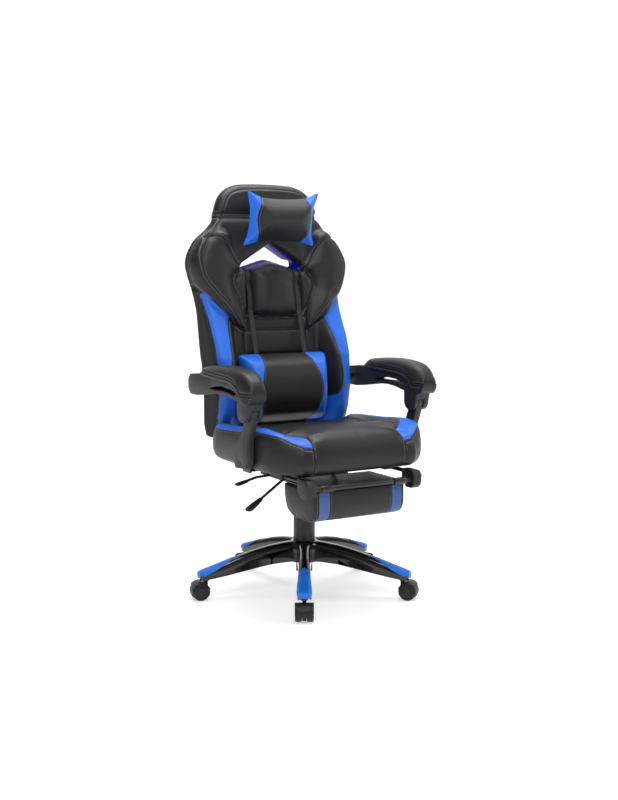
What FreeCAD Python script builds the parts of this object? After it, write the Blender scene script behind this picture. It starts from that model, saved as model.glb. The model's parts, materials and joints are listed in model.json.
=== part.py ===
import FreeCAD, Part
import Sketcher
import math
import os
import re

# A gaming chair on a five-legged castered base, in millimetres.
# Z is up and the floor is Z = 0. The sitter faces -Y and the column stands on the Z axis.

doc = FreeCAD.newDocument("gaming_chair")
sheet = doc.addObject("Spreadsheet::Sheet", "dims")

driving_sizes = [
    # base and casters
    ("first_leg", 239.8, "direction of the first leg, degrees from +X"),
    ("hub_radius", 34, "outside of the base's hub"),
    ("hub_bottom", 93, "underside of the hub"),
    ("hub_top", 157, "top of the hub"),
    ("leg_half", 22, "half the width of a leg"),
    ("leg_wall", 4, "wall of the hollow leg"),
    ("leg_crease", 7, "bevel along a leg's upper edges"),
    ("knee_reach", 192, "where a leg starts to fall away"),
    ("knee_top", 134, "top of the leg at the knee"),
    ("cap_reach", 223, "inner end of the coloured leg cover"),
    ("cap_top", 123.5, "height of the cover's inner end"),
    ("toe_reach", 328, "outer end of the leg"),
    ("toe_top", 85, "top of the leg's outer end"),
    ("toe_bottom", 60, "underside of the leg's outer end"),
    ("cover_skin", 3, "thickness of the leg cover"),
    ("stem_reach", 305, "distance of a caster's stem from the column"),
    ("stem_seat", 57.5, "underside of the leg round a stem"),
    ("stem_grip", 20, "length of stem inside the leg"),
    ("stem_radius", 5.5, "stem inside the leg"),
    ("pivot_radius", 4, "stem inside the caster's hood"),
    ("trail", 19, "how far the axle lies outside the stem"),
    ("wheel_radius", 25, "caster wheel"),
    ("wheel_width", 20, "one of the two wheels"),
    ("web_half", 6, "half the hood's middle web"),
    ("wheel_gap", 0.5, "between web and wheel"),
    ("hood_gap", 1.2, "between wheel and hood"),
    ("hood_skin", 2.2, "thickness of the hood"),
    ("axle_radius", 3, "caster axle"),
    ("running_fit", 0.05, "radial clearance of a turning shaft"),
    # column
    ("tube_radius", 25, "outer tube of the gas lift"),
    ("tube_wall", 2, "wall of that tube"),
    ("tube_bottom", 62, "lower end of that tube"),
    ("tube_top", 255, "upper end of that tube"),
    ("bushing_length", 100, "plastic guide in the tube"),
    ("cylinder_radius", 14, "pressure cylinder"),
    ("cylinder_bore", 11.5, "bore of the cylinder"),
    ("cylinder_bottom", 112, "lower end of the cylinder at its lowest"),
    ("gland_height", 12, "closed end round the rod"),
    ("rod_radius", 5, "piston rod"),
    ("piston_level", 232, "underside of the piston"),
    ("piston_height", 10, "thickness of the piston"),
    ("bearing_height", 5, "thrust bearing under the rod's collar"),
    ("cover_radius", 32.5, "widest column cover"),
    ("cover_wall", 1.5, "wall of each column cover"),
    ("cover_step", 1, "air between two covers"),
    ("cover_top", 335, "top of the widest cover"),
    # tilt mechanism
    ("pan_half", 84, "half the width of the mechanism"),
    ("pan_front", 115, "front of the mechanism ahead of the column"),
    ("pan_rear", 75, "rear of the mechanism behind the column"),
    ("pan_bottom", 346, "underside of the mechanism"),
    ("pan_rim", 372, "rim of the mechanism's side walls"),
    ("pan_steel", 3, "sheet of the mechanism"),
    ("socket_radius", 20, "socket round the cylinder's taper"),
    ("taper_drop", 2, "how much the taper narrows"),
    ("taper_top", 369.5, "upper end of the cylinder"),
    ("valve_radius", 4, "release button in the cylinder's end"),
    ("valve_depth", 9.5, "depth of the button's bore"),
    ("valve_foot", 4.4, "room under the button"),
    ("shaft_ahead", 30, "tilt shaft ahead of the column"),
    ("shaft_level", 395, "height of the tilt shaft"),
    ("shaft_radius", 5, "tilt shaft"),
    ("ear_half", 13, "half the length of an ear round the shaft"),
    ("ear_rise", 7.5, "ear above the shaft's centre"),
    ("flange_half", 79, "outer face of the seat plate's flanges"),
    ("plate_half", 100, "half the width of the seat plate"),
    ("plate_front", 110, "front of the seat plate"),
    ("plate_steel", 4, "sheet of the seat plate"),
    ("spring_ahead", 85, "tension spring ahead of the column"),
    ("cup_radius", 24, "housing of the tension spring"),
    ("cup_bottom", 304, "underside of that housing"),
    ("cup_wall", 2, "wall of that housing"),
    ("coil_radius", 16, "middle line of the spring"),
    ("coil_wire", 2, "radius of the spring's wire"),
    ("coil_pitch", 7, "rise of a turn"),
    ("knob_radius", 25, "tension knob"),
    ("knob_height", 24, "height of the knob"),
    ("lever_radius", 4, "steel of both hand levers"),
    ("height_back", 60, "height lever ahead of the column"),
    ("height_level", 380, "pivot of the height lever"),
    ("height_elbow", 194, "bend of the height lever, out to the sitter's right"),
    ("height_tip", 258, "end of the height lever"),
    ("height_tip_level", 358, "height of that end"),
    ("grip_radius", 7, "hand grip on a lever"),
    ("recline_side", 152, "recline rod, out to the sitter's right"),
    ("recline_level", 400, "height of the recline rod"),
    ("recline_ahead", 148, "recline lever ahead of the column"),
    ("recline_drop", 380, "where the recline lever turns outwards"),
    ("recline_elbow", 221, "where the recline lever's grip starts"),
    ("recline_elbow_level", 335, "height of that place"),
    ("recline_tip", 280, "end of the recline lever"),
    ("recline_tip_level", 308, "height of that end"),
    # seat
    ("seat_half", 256, "half the width of the seat"),
    ("seat_bottom", 411, "underside of the seat"),
    ("seat_front", 312, "front of the seat ahead of the column"),
    ("seat_rear", 108, "rear of the seat behind the column"),
    ("seat_rear_top", 503, "top of the seat at its rear"),
    ("seat_crest", 524, "highest line of the seat"),
    ("seat_crest_ahead", 180, "that line ahead of the column"),
    ("seat_nose_top", 498, "top of the rolled front edge"),
    ("nose_round", 26, "depth of the rolled front edge"),
    ("corner_start", 158, "half the straight part of the front edge"),
    ("corner_depth", 74, "how far back the slanted corners reach"),
    ("frame_outer", 195, "outer face of the seat frame's side tubes"),
    ("frame_tube", 25, "width of those tubes"),
    ("frame_height", 18, "height of those tubes"),
    ("frame_wall", 1.5, "wall of those tubes"),
    ("frame_front", 262, "front of the seat frame"),
    ("frame_rear", 98, "rear of the seat frame"),
    ("bar_steel", 5, "thickness of the two mounting bars"),
    ("bar_width", 36, "width of those bars"),
    ("front_bar", 92, "front mounting bar ahead of the column"),
    ("rear_bar", 52, "rear mounting bar behind the column"),
    ("screw_half", 75, "half the distance between the seat screws"),
    ("screw_radius", 3, "shank of a seat screw"),
    ("soft_gap", 0.4, "room between steel and foam"),
    ("rest_gap", 0.3, "air between two soft pieces"),
    ("bracket_steel", 6, "recliner bracket"),
    ("bracket_half", 15, "half the width of the recliner bracket"),
    ("hinge_gap", 1, "between recliner bracket and back plate"),
    ("hinge_pin", 8, "recliner pin"),
    # linked armrests
    ("post_foot_ahead", 135, "lower pivot of the arm post ahead of the column"),
    ("post_foot_level", 432, "height of that pivot"),
    ("link_ahead", 47, "upper pivot of the post ahead of the lower one"),
    ("link_rise", 151, "upper pivot of the post above the lower one"),
    ("arm_hinge_back", 142, "rear pivot of the armrest behind the column"),
    ("arm_hinge_level", 632, "height of that pivot"),
    ("post_clear", 8, "from the seat's side to the post"),
    ("post_half", 11, "half the thickness of the post"),
    ("post_eye", 27, "round upper end of the post"),
    ("link_pin", 6, "pins of the armrest linkage"),
    ("link_play", 1, "clearance of the post's upper pivot"),
    ("cheek_gap", 1, "between post and fork"),
    ("pin_depth", 32, "depth of the hinge's bore in the shell"),
    ("shell_inside", 20, "from the post's middle in to the armrest shell's inner face"),
    ("shell_width", 48, "width of the armrest's shell"),
    ("pad_outside", 8, "from the post's middle out to the middle of the arm pad"),
    ("pad_half", 39, "half the width of the arm pad"),
    # footrest
    ("rail_side", 173, "footrest rail, out from the middle"),
    ("rail_level", 394, "height of the footrest rails"),
    ("rail_radius", 6, "footrest rail"),
    ("rail_rear", 115, "rear end of the rails"),
    ("guide_half", 10, "half the width of a rail guide"),
    ("guide_front", 190, "front of the front guide"),
    ("guide_mid", 134, "rear of the front guide"),
    ("guide_back", 102, "front of the rear guide"),
    ("guide_rear", 64, "rear of the rear guide"),
    ("arm_bar_front", 130, "front of the bar that carries an arm post"),
    ("arm_bar_rear", 106, "rear of that bar"),
    ("cap_inner", 160, "inner face of a footrest corner"),
    ("cap_outer", 186, "outer face of a footrest corner"),
    ("cap_front", 343, "front of a footrest corner"),
    ("cap_back", 280, "rear of a footrest corner"),
    ("cap_high", 403, "top of a footrest corner"),
    ("cap_low", 352, "underside of a footrest corner"),
    ("bar_ahead", 327, "footrest bar ahead of the column"),
    ("bar_level", 377, "height of the footrest bar"),
    ("bar_radius", 7, "footrest bar"),
    ("rest_half", 150, "half the width of the footrest pad"),
    ("rest_front", 318, "front of the pad when stored"),
    ("rest_rear", 135, "rear of the pad when stored"),
    ("rest_top", 371, "top of the pad when stored"),
    ("rest_bottom", 281, "underside of the pad when stored"),
    ("rest_steel", 3, "plate that carries the pad"),
    ("sleeve_inner", 100, "inner end of a hinge sleeve, out from the middle"),
    ("sleeve_length", 40, "length of a hinge sleeve"),
    ("knuckle_wall", 3, "wall of the plate's hinge sleeves"),
    # backrest
    ("back_bottom", 458, "lowest edge of the backrest"),
    ("back_top", 1222, "highest edge of the backrest"),
    ("lap_front", 152, "front of the backrest at the seat"),
    ("lap_level", 500, "height of that place"),
    ("rib_front", 196, "front of the backrest at the waist"),
    ("waist_level", 897, "height of the waist"),
    ("head_front", 232, "front of the backrest at its top"),
    ("rear_low", 190, "rear of the backrest at its lowest edge"),
    ("rear_lap", 212, "rear of the backrest at the seat"),
    ("rear_waist", 258, "rear of the backrest at the waist"),
    ("rear_head", 290, "rear of the backrest at its top"),
    ("bottom_half", 214, "half the width of the lowest edge"),
    ("lap_half", 230, "half the width above the seat"),
    ("waist_half", 248, "half the width at the waist"),
    ("wing_half", 270, "half the width across the shoulder wings"),
    ("wing_level", 985, "height of the wing tips"),
    ("neck_half", 187, "half the width of the neck"),
    ("neck_level", 1115, "height of the neck"),
    ("brow_half", 168, "half the width of the head above the neck"),
    ("brow_level", 1182, "height of that place"),
    ("crown_half", 118, "half the width of the top edge"),
    ("bolster_inner", 165, "inner face of the side bolsters"),
    ("bolster_front", 88, "foremost line of the side bolsters"),
    ("bolster_level", 610, "height of that line"),
    ("hole_half", 105, "half the width of the chevron opening"),
    ("hole_corner", 962, "height of the opening's lower corners"),
    ("hole_shoulder", 984, "height of the opening's upper corners"),
    ("hole_ridge", 990, "middle of the opening's lower edge"),
    ("hole_peak", 1040, "middle of the opening's upper edge"),
    ("hoop_side", 200, "side tube of the back frame, out from the middle"),
    ("hoop_radius", 11, "tube of the back frame"),
    ("hoop_wall", 1.5, "wall of that tube"),
    ("hoop_bend", 42, "bend of that tube"),
    ("lug_steel", 6, "thickness of the lug that carries an armrest"),
    ("strap_steel", 4, "thickness of the frame's flat straps"),
    ("strap_height", 26, "height of those straps"),
    ("hoop_foot", 508, "lower end of the side tubes"),
    ("hoop_waist", 880, "where the side tubes turn in"),
    ("hoop_top", 1176, "top bar of the back frame"),
    ("hoop_top_half", 100, "half the length of the top bar"),
    ("head_pillow_half", 118, "half the width of the head pillow"),
    ("head_pillow_low", 1040, "underside of the head pillow"),
    ("head_pillow_high", 1198, "top of the head pillow"),
    ("head_pillow_front", 88, "front of the head pillow"),
    ("lumbar_half", 144, "half the width of the lumbar pillow"),
    ("lumbar_low", 524, "underside of the lumbar pillow"),
    ("lumbar_high", 716, "top of the lumbar pillow"),
    ("lumbar_front", 72, "front of the lumbar pillow"),
    ("strap_side", 82, "pillow strap, out from the middle"),
    ("strap_width", 17, "width of a pillow strap"),
    ("strap_thick", 1.6, "thickness of a pillow strap"),
]

aliases = set()
for row, (alias, value, meaning) in enumerate(driving_sizes, 1):
    sheet.set("A%d" % row, meaning)
    sheet.set("B%d" % row, str(value))
    sheet.setAlias("B%d" % row, alias)
    aliases.add(alias)
doc.recompute()

leg_total = 5
leg_step = 360 / leg_total
sides = (("right", -1), ("left", 1))
finished = []


# Places across an armrest, which stands beside the seat.
arm_places = {
    "post_middle": "(seat_half + post_clear + post_half)",
    "shell_inner": "(post_middle - shell_inside)",
    "shell_outer": "(shell_inner + shell_width)",
    "pad_middle": "(post_middle + pad_outside)",
}


def tied(text):
    """Write an expression's size names as cells of the sheet."""
    def cell(word):
        name = word.group()
        if name in arm_places:
            return tied(arm_places[name])
        return "dims." + name if name in aliases else name
    return re.sub(r"[a-z][a-z_]*", cell, str(text))


def size(alias):
    return float(sheet.get(alias))


def finish(piece, label):
    piece.Label = label
    finished.append(piece)
    return piece


def place(piece, x=0, y=0, z=0):
    for axis, value in (("x", x), ("y", y), ("z", z)):
        piece.setExpression("Placement.Base." + axis, tied(value))
    return piece


def turn(piece, axis, angle):
    piece.Placement = FreeCAD.Placement(FreeCAD.Vector(), FreeCAD.Rotation(FreeCAD.Vector(*axis), angle))
    return piece


def block(x, y, z, name="block"):
    """A box between three pairs of bounds."""
    piece = doc.addObject("Part::Box", name)
    for side, (low, high) in (("Length", x), ("Width", y), ("Height", z)):
        piece.setExpression(side, tied("(%s) - (%s)" % (high, low)))
    return place(piece, x[0], y[0], z[0])


def rod(axis, radius, start, length, at=(0, 0), name="rod"):
    """A cylinder along X, Y or Z that starts at a place on that axis."""
    piece = doc.addObject("Part::Cylinder", name)
    piece.setExpression("Radius", tied(radius))
    piece.setExpression("Height", tied(length))
    if axis == "x":
        return place(turn(piece, (0, 1, 0), 90), start, *at)
    if axis == "y":
        return place(turn(piece, (1, 0, 0), -90), at[0], start, at[1])
    return place(piece, at[0], at[1], start)


def fuse(*pieces):
    union = doc.addObject("Part::MultiFuse", "union")
    union.Shapes = list(pieces)
    return union


def cut(base, *tools):
    trimmed = doc.addObject("Part::Cut", "trimmed")
    trimmed.Base = base
    trimmed.Tool = tools[0] if len(tools) == 1 else fuse(*tools)
    return trimmed


def common(first, second):
    shared = doc.addObject("Part::Common", "shared")
    shared.Base = first
    shared.Tool = second
    return shared


def group(*pieces):
    together = doc.addObject("Part::Compound", "group")
    together.Links = list(pieces)
    return together


def ring(outer, inner, start, length, at=(0, 0)):
    """A tube along Z."""
    return cut(rod("z", outer, start, length, at),
               rod("z", inner, "(%s) - 1" % start, "(%s) + 2" % length, at))


def origin_plane(body, role):
    return next(item for item in body.Origin.OriginFeatures if item.Role == role)


def outline(body, role, start, *loops):
    """A sketch of closed loops of straight lines, each corner tied to the sheet."""
    sketch = body.newObject("Sketcher::SketchObject", "outline")
    sketch.AttachmentSupport = [(origin_plane(body, role), "")]
    sketch.MapMode = "FlatFace"
    sketch.setExpression("AttachmentOffset.Base.z", tied(start))
    for corners in loops:
        first = sketch.GeometryCount
        count = len(corners)
        turning = [2 * math.pi * step / count for step in range(count + 1)]
        ends = [FreeCAD.Vector(99 * math.cos(angle), 99 * math.sin(angle), 0) for angle in turning]
        for step in range(count):
            sketch.addGeometry(Part.LineSegment(ends[step], ends[step + 1]), False)
        for step in range(count):
            following = first + (step + 1) % count
            sketch.addConstraint(Sketcher.Constraint("Coincident", first + step, 2, following, 1))
        for step, corner in enumerate(corners):
            for kind, value in zip(("DistanceX", "DistanceY"), corner):
                index = sketch.addConstraint(Sketcher.Constraint(kind, -1, 1, first + step, 1, 99.0))
                sketch.setExpression("Constraints[%d]" % index, tied(value))
    sketch.Visibility = False
    return sketch


def pad(body, sketch, length):
    feature = body.newObject("PartDesign::Pad", "pad")
    feature.Profile = sketch
    feature.setExpression("Length", tied(length))
    return feature


def pocket(body, sketch, length):
    """Cut along the sketch's own normal."""
    feature = body.newObject("PartDesign::Pocket", "pocket")
    feature.Profile = sketch
    feature.Reversed = True
    feature.setExpression("Length", tied(length))
    return feature


def prism(role, start, length, *loops):
    """A PartDesign body padded from one sketch; XZ sketches are padded towards -Y."""
    body = doc.addObject("PartDesign::Body", "body")
    pad(body, outline(body, role, start, *loops), length)
    return body


def soften(body, radius, wanted):
    """Round the edges of a body that the test picks out."""
    doc.recompute()
    tip = body.Tip
    names = ["Edge%d" % number for number, edge in enumerate(tip.Shape.Edges, 1) if wanted(edge)]
    feature = body.newObject("PartDesign::Fillet", "rounding")
    feature.Base = (tip, names)
    feature.setExpression("Radius", tied(radius))
    return body


def mirrored(points):
    return [("-(%s)" % x, y) for x, y in reversed(points)]


def bent_rod(points, radius, bend):
    """A round bar along straight runs that are joined by bends."""
    spots = [FreeCAD.Vector(*point) for point in points]
    edges = []
    start = spots[0]
    for before, corner, after in zip(spots, spots[1:], spots[2:]):
        back = (before - corner).normalize()
        ahead = (after - corner).normalize()
        half = back.getAngle(ahead) / 2
        reach = bend / math.tan(half)
        entry = corner + back * reach
        leave = corner + ahead * reach
        middle = corner + (back + ahead).normalize() * (bend / math.sin(half) - bend)
        edges.append(Part.makeLine(start, entry))
        edges.append(Part.Arc(entry, middle, leave).toShape())
        start = leave
    edges.append(Part.makeLine(start, spots[-1]))
    path = Part.Wire(edges)
    ring_wire = Part.Wire(Part.makeCircle(radius, spots[0], spots[1] - spots[0]))
    return path.makePipeShell([ring_wire], True, False)


def feature(shape, name="feature"):
    piece = doc.addObject("Part::Feature", name)
    piece.Shape = shape
    return piece


# ---- base -----------------------------------------------------------------------------------

def aim(piece, number, reach=0):
    """Swing a piece made along +X round to a leg, and carry it out by a reach."""
    angle = "first_leg + %g" % (leg_step * number)
    piece.Placement = FreeCAD.Placement(FreeCAD.Vector(), FreeCAD.Rotation(FreeCAD.Vector(0, 0, 1), 1))
    piece.setExpression("Placement.Rotation.Angle", tied(angle))
    return place(piece, "(%s) * cos(%s)" % (reach, angle), "(%s) * sin(%s)" % (reach, angle), 0)


def whole_leg():
    """A leg and its cover as one solid, from inside the hub to the toe."""
    side_view = [("hub_radius - 12", "hub_top - 1"), ("knee_reach", "knee_top"), ("cap_reach", "cap_top"),
                 ("toe_reach", "toe_top"), ("toe_reach", "toe_bottom"), ("stem_reach - 16", "stem_seat"),
                 ("knee_reach - 15", "hub_bottom - 11"), ("hub_radius + 79", "hub_bottom + 4"),
                 ("hub_radius - 12", "hub_bottom")]
    body = prism("XZ_Plane", "-leg_half", "2 * leg_half", side_view)
    return soften(body, "leg_crease", lambda edge: edge.BoundBox.ZMin > size("toe_top") - 0.1
                  and edge.BoundBox.YLength < 0.01 and edge.BoundBox.XLength > 5)


def cover_skin_view():
    """The cover's share of the leg: its upper skin and a lip down over the toe."""
    return [("cap_reach", "cap_top + 9"), ("toe_reach + 9", "cap_top + 9"),
            ("toe_reach + 9", "toe_bottom + 4"),
            ("toe_reach - cover_skin", "toe_bottom + 4"), ("toe_reach - cover_skin",
                                                           "toe_top - cover_skin"),
            ("cap_reach", "cap_top - cover_skin")]


def one_leg():
    hollow = [("hub_radius + 4", "hub_bottom - 40"), ("hub_radius + 4", "hub_top - 1 - 3 * leg_wall"),
              ("knee_reach", "knee_top - 3 * leg_wall"), ("cap_reach", "cap_top - 3 * leg_wall"),
              ("stem_reach - 20", "toe_top - leg_wall"), ("stem_reach - 20", "hub_bottom - 40")]
    room = prism("XZ_Plane", "-(leg_half - leg_wall)", "2 * (leg_half - leg_wall)", hollow)
    return cut(whole_leg(), prism("XZ_Plane", "-99", "198", cover_skin_view()), room)


def leg_cover():
    return common(whole_leg(), prism("XZ_Plane", "-99", "198", cover_skin_view()))


def make_base():
    legs = [aim(one_leg(), number) for number in range(leg_total)]
    hub = rod("z", "hub_radius", "hub_bottom", "hub_top - hub_bottom")
    bore = rod("z", "tube_radius", "hub_bottom - 1", "hub_top - hub_bottom + 2")
    holes = [aim(group(rod("z", "stem_radius", "stem_seat - 5", "stem_grip + 5")), number, "stem_reach")
             for number in range(leg_total)]
    finish(cut(fuse(hub, *legs), bore, *holes), "star_base")
    finish(group(*[aim(leg_cover(), number) for number in range(leg_total)]), "leg_covers")
    finish(group(*[aim(stem(), number, "stem_reach") for number in range(leg_total)]), "caster_stems")


def stem():
    """A stem at the origin: a thick end in the leg and a thin end in the hood."""
    return fuse(rod("z", "stem_radius", "stem_seat - 2", "stem_grip + 2"),
                rod("z", "pivot_radius", "wheel_radius + 12", "stem_seat - wheel_radius - 13"))


def make_caster(number):
    reach = "wheel_radius + hood_gap"
    span = "web_half + wheel_gap + wheel_width"
    centre = ("trail", "wheel_radius")
    shell = cut(along_y("(%s) + hood_skin" % reach, "-(%s)" % span, "2 * (%s)" % span, centre),
                along_y(reach, "-(%s) - 1" % span, "2 * (%s) + 2" % span, centre))
    sector = block(("-wheel_radius", "trail + 22"), ("-99", "99"), ("wheel_radius + 9", "99"))
    arch = common(shell, sector)
    web = cut(along_y("%s + hood_skin / 2" % reach, "-web_half", "2 * web_half", centre),
              block(("-99", "99"), ("-99", "99"), ("-9", "8")))
    boss = rod("z", "web_half - 0.2", "wheel_radius - 5", "stem_seat - wheel_radius + 2")
    socket = rod("z", "pivot_radius + running_fit", "wheel_radius + 11", "stem_seat")
    axle_hole = along_y("axle_radius", "-web_half - 1", "2 * web_half + 2", centre)
    hood = cut(fuse(arch, web, boss), socket, axle_hole)
    axle = group(along_y("axle_radius", "-(%s) + 3" % span, "2 * (%s) - 6" % span, centre))
    finish(group(aim(hood, number, "stem_reach"), aim(axle, number, "stem_reach")),
           "caster_hood_%d" % (number + 1))
    for side, sign in sides:
        inner = "web_half + wheel_gap" if sign > 0 else "-(%s)" % span
        bore = "%s - 3" % inner if sign > 0 else "%s + 2.5" % inner
        wheel = cut(along_y("wheel_radius", inner, "wheel_width", centre),
                    along_y("axle_radius + running_fit", bore, "wheel_width + 0.5", centre))
        finish(aim(wheel, number, "stem_reach"), "caster_wheel_%d_%s" % (number + 1, side))


def along_y(radius, start, length, centre):
    return rod("y", radius, start, length, centre)


# ---- column ---------------------------------------------------------------------------------

def make_column():
    bore = "tube_radius - tube_wall"
    tube = ring("tube_radius", bore, "tube_bottom", "tube_top - tube_bottom")
    floor = ring(bore, "rod_radius + 1", "tube_bottom", "tube_wall * 2")
    finish(fuse(tube, floor), "lift_outer_tube")
    finish(ring(bore, "cylinder_radius + running_fit", "tube_top - bushing_length", "bushing_length"),
           "lift_bushing")

    rest = "tube_bottom + 2 * tube_wall + 0.3"
    finish(ring("rod_radius + 7", "rod_radius + running_fit", rest, "bearing_height"), "thrust_bearing")
    collar = rod("z", "rod_radius + 6", "%s + bearing_height" % rest, "4")
    shank = rod("z", "rod_radius", "tube_bottom + 1", "piston_level - tube_bottom")
    piston = rod("z", "cylinder_bore - running_fit", "piston_level", "piston_height")
    finish(fuse(collar, shank, piston), "lift_rod")

    wall = rod("z", "cylinder_radius", "cylinder_bottom", "pan_bottom - cylinder_bottom")
    taper = doc.addObject("Part::Cone", "taper")
    taper.setExpression("Radius1", tied("cylinder_radius"))
    taper.setExpression("Radius2", tied("cylinder_radius - taper_drop"))
    taper.setExpression("Height", tied("taper_top - pan_bottom"))
    place(taper, 0, 0, "pan_bottom")
    chamber = rod("z", "cylinder_bore", "cylinder_bottom + gland_height",
                  "pan_bottom - cylinder_bottom - 2 * gland_height")
    gland = rod("z", "rod_radius + running_fit", "cylinder_bottom - 1", "gland_height + 2")
    valve = rod("z", "valve_radius + running_fit", "taper_top - valve_depth", "valve_depth + 1")
    finish(cut(fuse(wall, taper), chamber, gland, valve), "lift_cylinder")
    foot = "taper_top - valve_depth + valve_foot"
    finish(rod("z", "valve_radius", foot, "height_level - lever_radius - 0.2 - (%s)" % foot),
           "valve_button")

    step = "(cover_wall + cover_step)"
    widest = "cover_radius"
    for label, nest, low, high in (("column_cover_lower", 0, "hub_top", "cover_top"),
                                   ("column_cover_middle", 1, "hub_top + 6", "cover_top - 3"),
                                   ("column_cover_upper", 2, "hub_top + 9", "pan_bottom")):
        outer = "%s - %d * %s" % (widest, nest, step)
        finish(ring(outer, "%s - cover_wall" % outer, low, "(%s) - (%s)" % (high, low)), label)


# ---- mechanism ------------------------------------------------------------------------------

def make_mechanism():
    inner = "pan_half - pan_steel"
    length = ("-pan_front", "pan_rear")
    pan = block(("-pan_half", "pan_half"), length, ("pan_bottom", "pan_rim"))
    room = block(("-(%s)" % inner, inner), ("pan_steel - pan_front", "pan_rear - pan_steel"),
                 ("pan_bottom + pan_steel", "pan_rim + 1"))
    parts = [cut(pan, room), rod("z", "socket_radius", "pan_bottom", "taper_top - pan_bottom")]
    ear_top = "shaft_level + ear_rise"
    for side, sign in sides:
        span = (inner, "pan_half") if sign > 0 else ("-pan_half", "-(%s)" % inner)
        front = "-height_back - 12" if sign < 0 else "-shaft_ahead - ear_half"
        parts.append(block(span, (front, "ear_half - shaft_ahead"), ("pan_rim - 1", ear_top)))
    cup = rod("z", "cup_radius", "cup_bottom", "pan_bottom - cup_bottom", (0, "-spring_ahead"))
    solid = fuse(*parts, cup)
    cup_room = rod("z", "cup_radius - cup_wall", "cup_bottom + cup_wall",
                   "pan_bottom - cup_bottom - cup_wall", (0, "-spring_ahead"))
    screw_hole = rod("z", "4 + running_fit", "cup_bottom - 1", "99", (0, "-spring_ahead"))
    shaft_hole = rod("x", "shaft_radius", "-pan_half - 1", "2 * pan_half + 2",
                     ("-shaft_ahead", "shaft_level"))
    lever_hole = rod("x", "lever_radius + 2", "-pan_half - 1", "pan_steel + 2",
                     ("-height_back", "height_level"))
    bore = doc.addObject("Part::Cone", "bore")
    bore.setExpression("Radius1", tied("cylinder_radius"))
    bore.setExpression("Radius2", tied("cylinder_radius - taper_drop"))
    bore.setExpression("Height", tied("taper_top - pan_bottom"))
    place(bore, 0, 0, "pan_bottom")
    finish(cut(solid, cup_room, screw_hole, shaft_hole, lever_hole, bore), "mechanism_base")
    finish(rod("x", "shaft_radius", "-pan_half", "2 * pan_half", ("-shaft_ahead", "shaft_level")),
           "tilt_shaft")

    knob = rod("z", "knob_radius", "cup_bottom - 0.5 - knob_height", "knob_height", (0, "-spring_ahead"))
    screw = rod("z", "4", "cup_bottom - 1", "pan_bottom - cup_bottom + 10", (0, "-spring_ahead"))
    finish(fuse(knob, screw), "tension_knob")
    finish(feature(spring_coil()), "tension_spring")


def spring_coil():
    """The tension spring: a wire wound round the knob's screw inside the housing."""
    low = size("cup_bottom") + size("cup_wall") + size("coil_wire") + 0.1
    high = size("pan_bottom") - size("coil_wire") - 0.1
    centre = FreeCAD.Vector(0, -size("spring_ahead"), low)
    helix = Part.makeHelix(size("coil_pitch"), high - low, size("coil_radius"))
    helix.translate(centre)
    start = centre + FreeCAD.Vector(size("coil_radius"), 0, 0)
    wire = Part.Wire(Part.makeCircle(size("coil_wire"), start, FreeCAD.Vector(0, 1, 0)))
    return Part.Wire(helix).makePipeShell([wire], True, True)


def make_levers():
    ahead = size("height_back")
    level = size("height_level")
    elbow = (-size("height_elbow"), -ahead, level - 6)
    tip = (-size("height_tip"), -ahead, size("height_tip_level"))
    grip_start = FreeCAD.Vector(*elbow) * 0.55 + FreeCAD.Vector(*tip) * 0.45
    path = [(0, 2, level), (-46, -ahead, level), (-size("pan_half") + 2, -ahead, level), elbow,
            tuple(grip_start)]
    lever = bent_rod(path, size("lever_radius"), 9)
    finish(feature(lever), "height_lever")
    finish(feature(grip(grip_start, FreeCAD.Vector(*tip))), "height_lever_grip")

    side = -size("recline_side")
    ahead = -size("recline_ahead")
    high = size("recline_level")
    elbow = FreeCAD.Vector(-size("recline_elbow"), ahead - 3, size("recline_elbow_level"))
    tip = FreeCAD.Vector(-size("recline_tip"), ahead - 26, size("recline_tip_level"))
    grip_start = elbow * 0.84 + tip * 0.16
    path = [(side, size("frame_rear") + 12, high), (side, ahead, high), (side, ahead, size("recline_drop")),
            tuple(elbow), tuple(grip_start)]
    lever = bent_rod(path, size("lever_radius"), 8)
    finish(feature(lever), "recline_lever")
    finish(feature(grip(grip_start, tip)), "recline_lever_grip")


def grip(start, end):
    """A round hand grip that swells to its end."""
    length = (end - start).Length
    radius = size("grip_radius")
    shape = Part.makeCone(radius - 1.5, radius, length, start, end - start)
    edge = max(shape.Edges, key=lambda each: each.CenterOfMass.distanceToPoint(start)
               if isinstance(each.Curve, Part.Circle) else 0)
    return shape.makeFillet(radius * 0.6, [edge])


# ---- seat -----------------------------------------------------------------------------------

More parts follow.
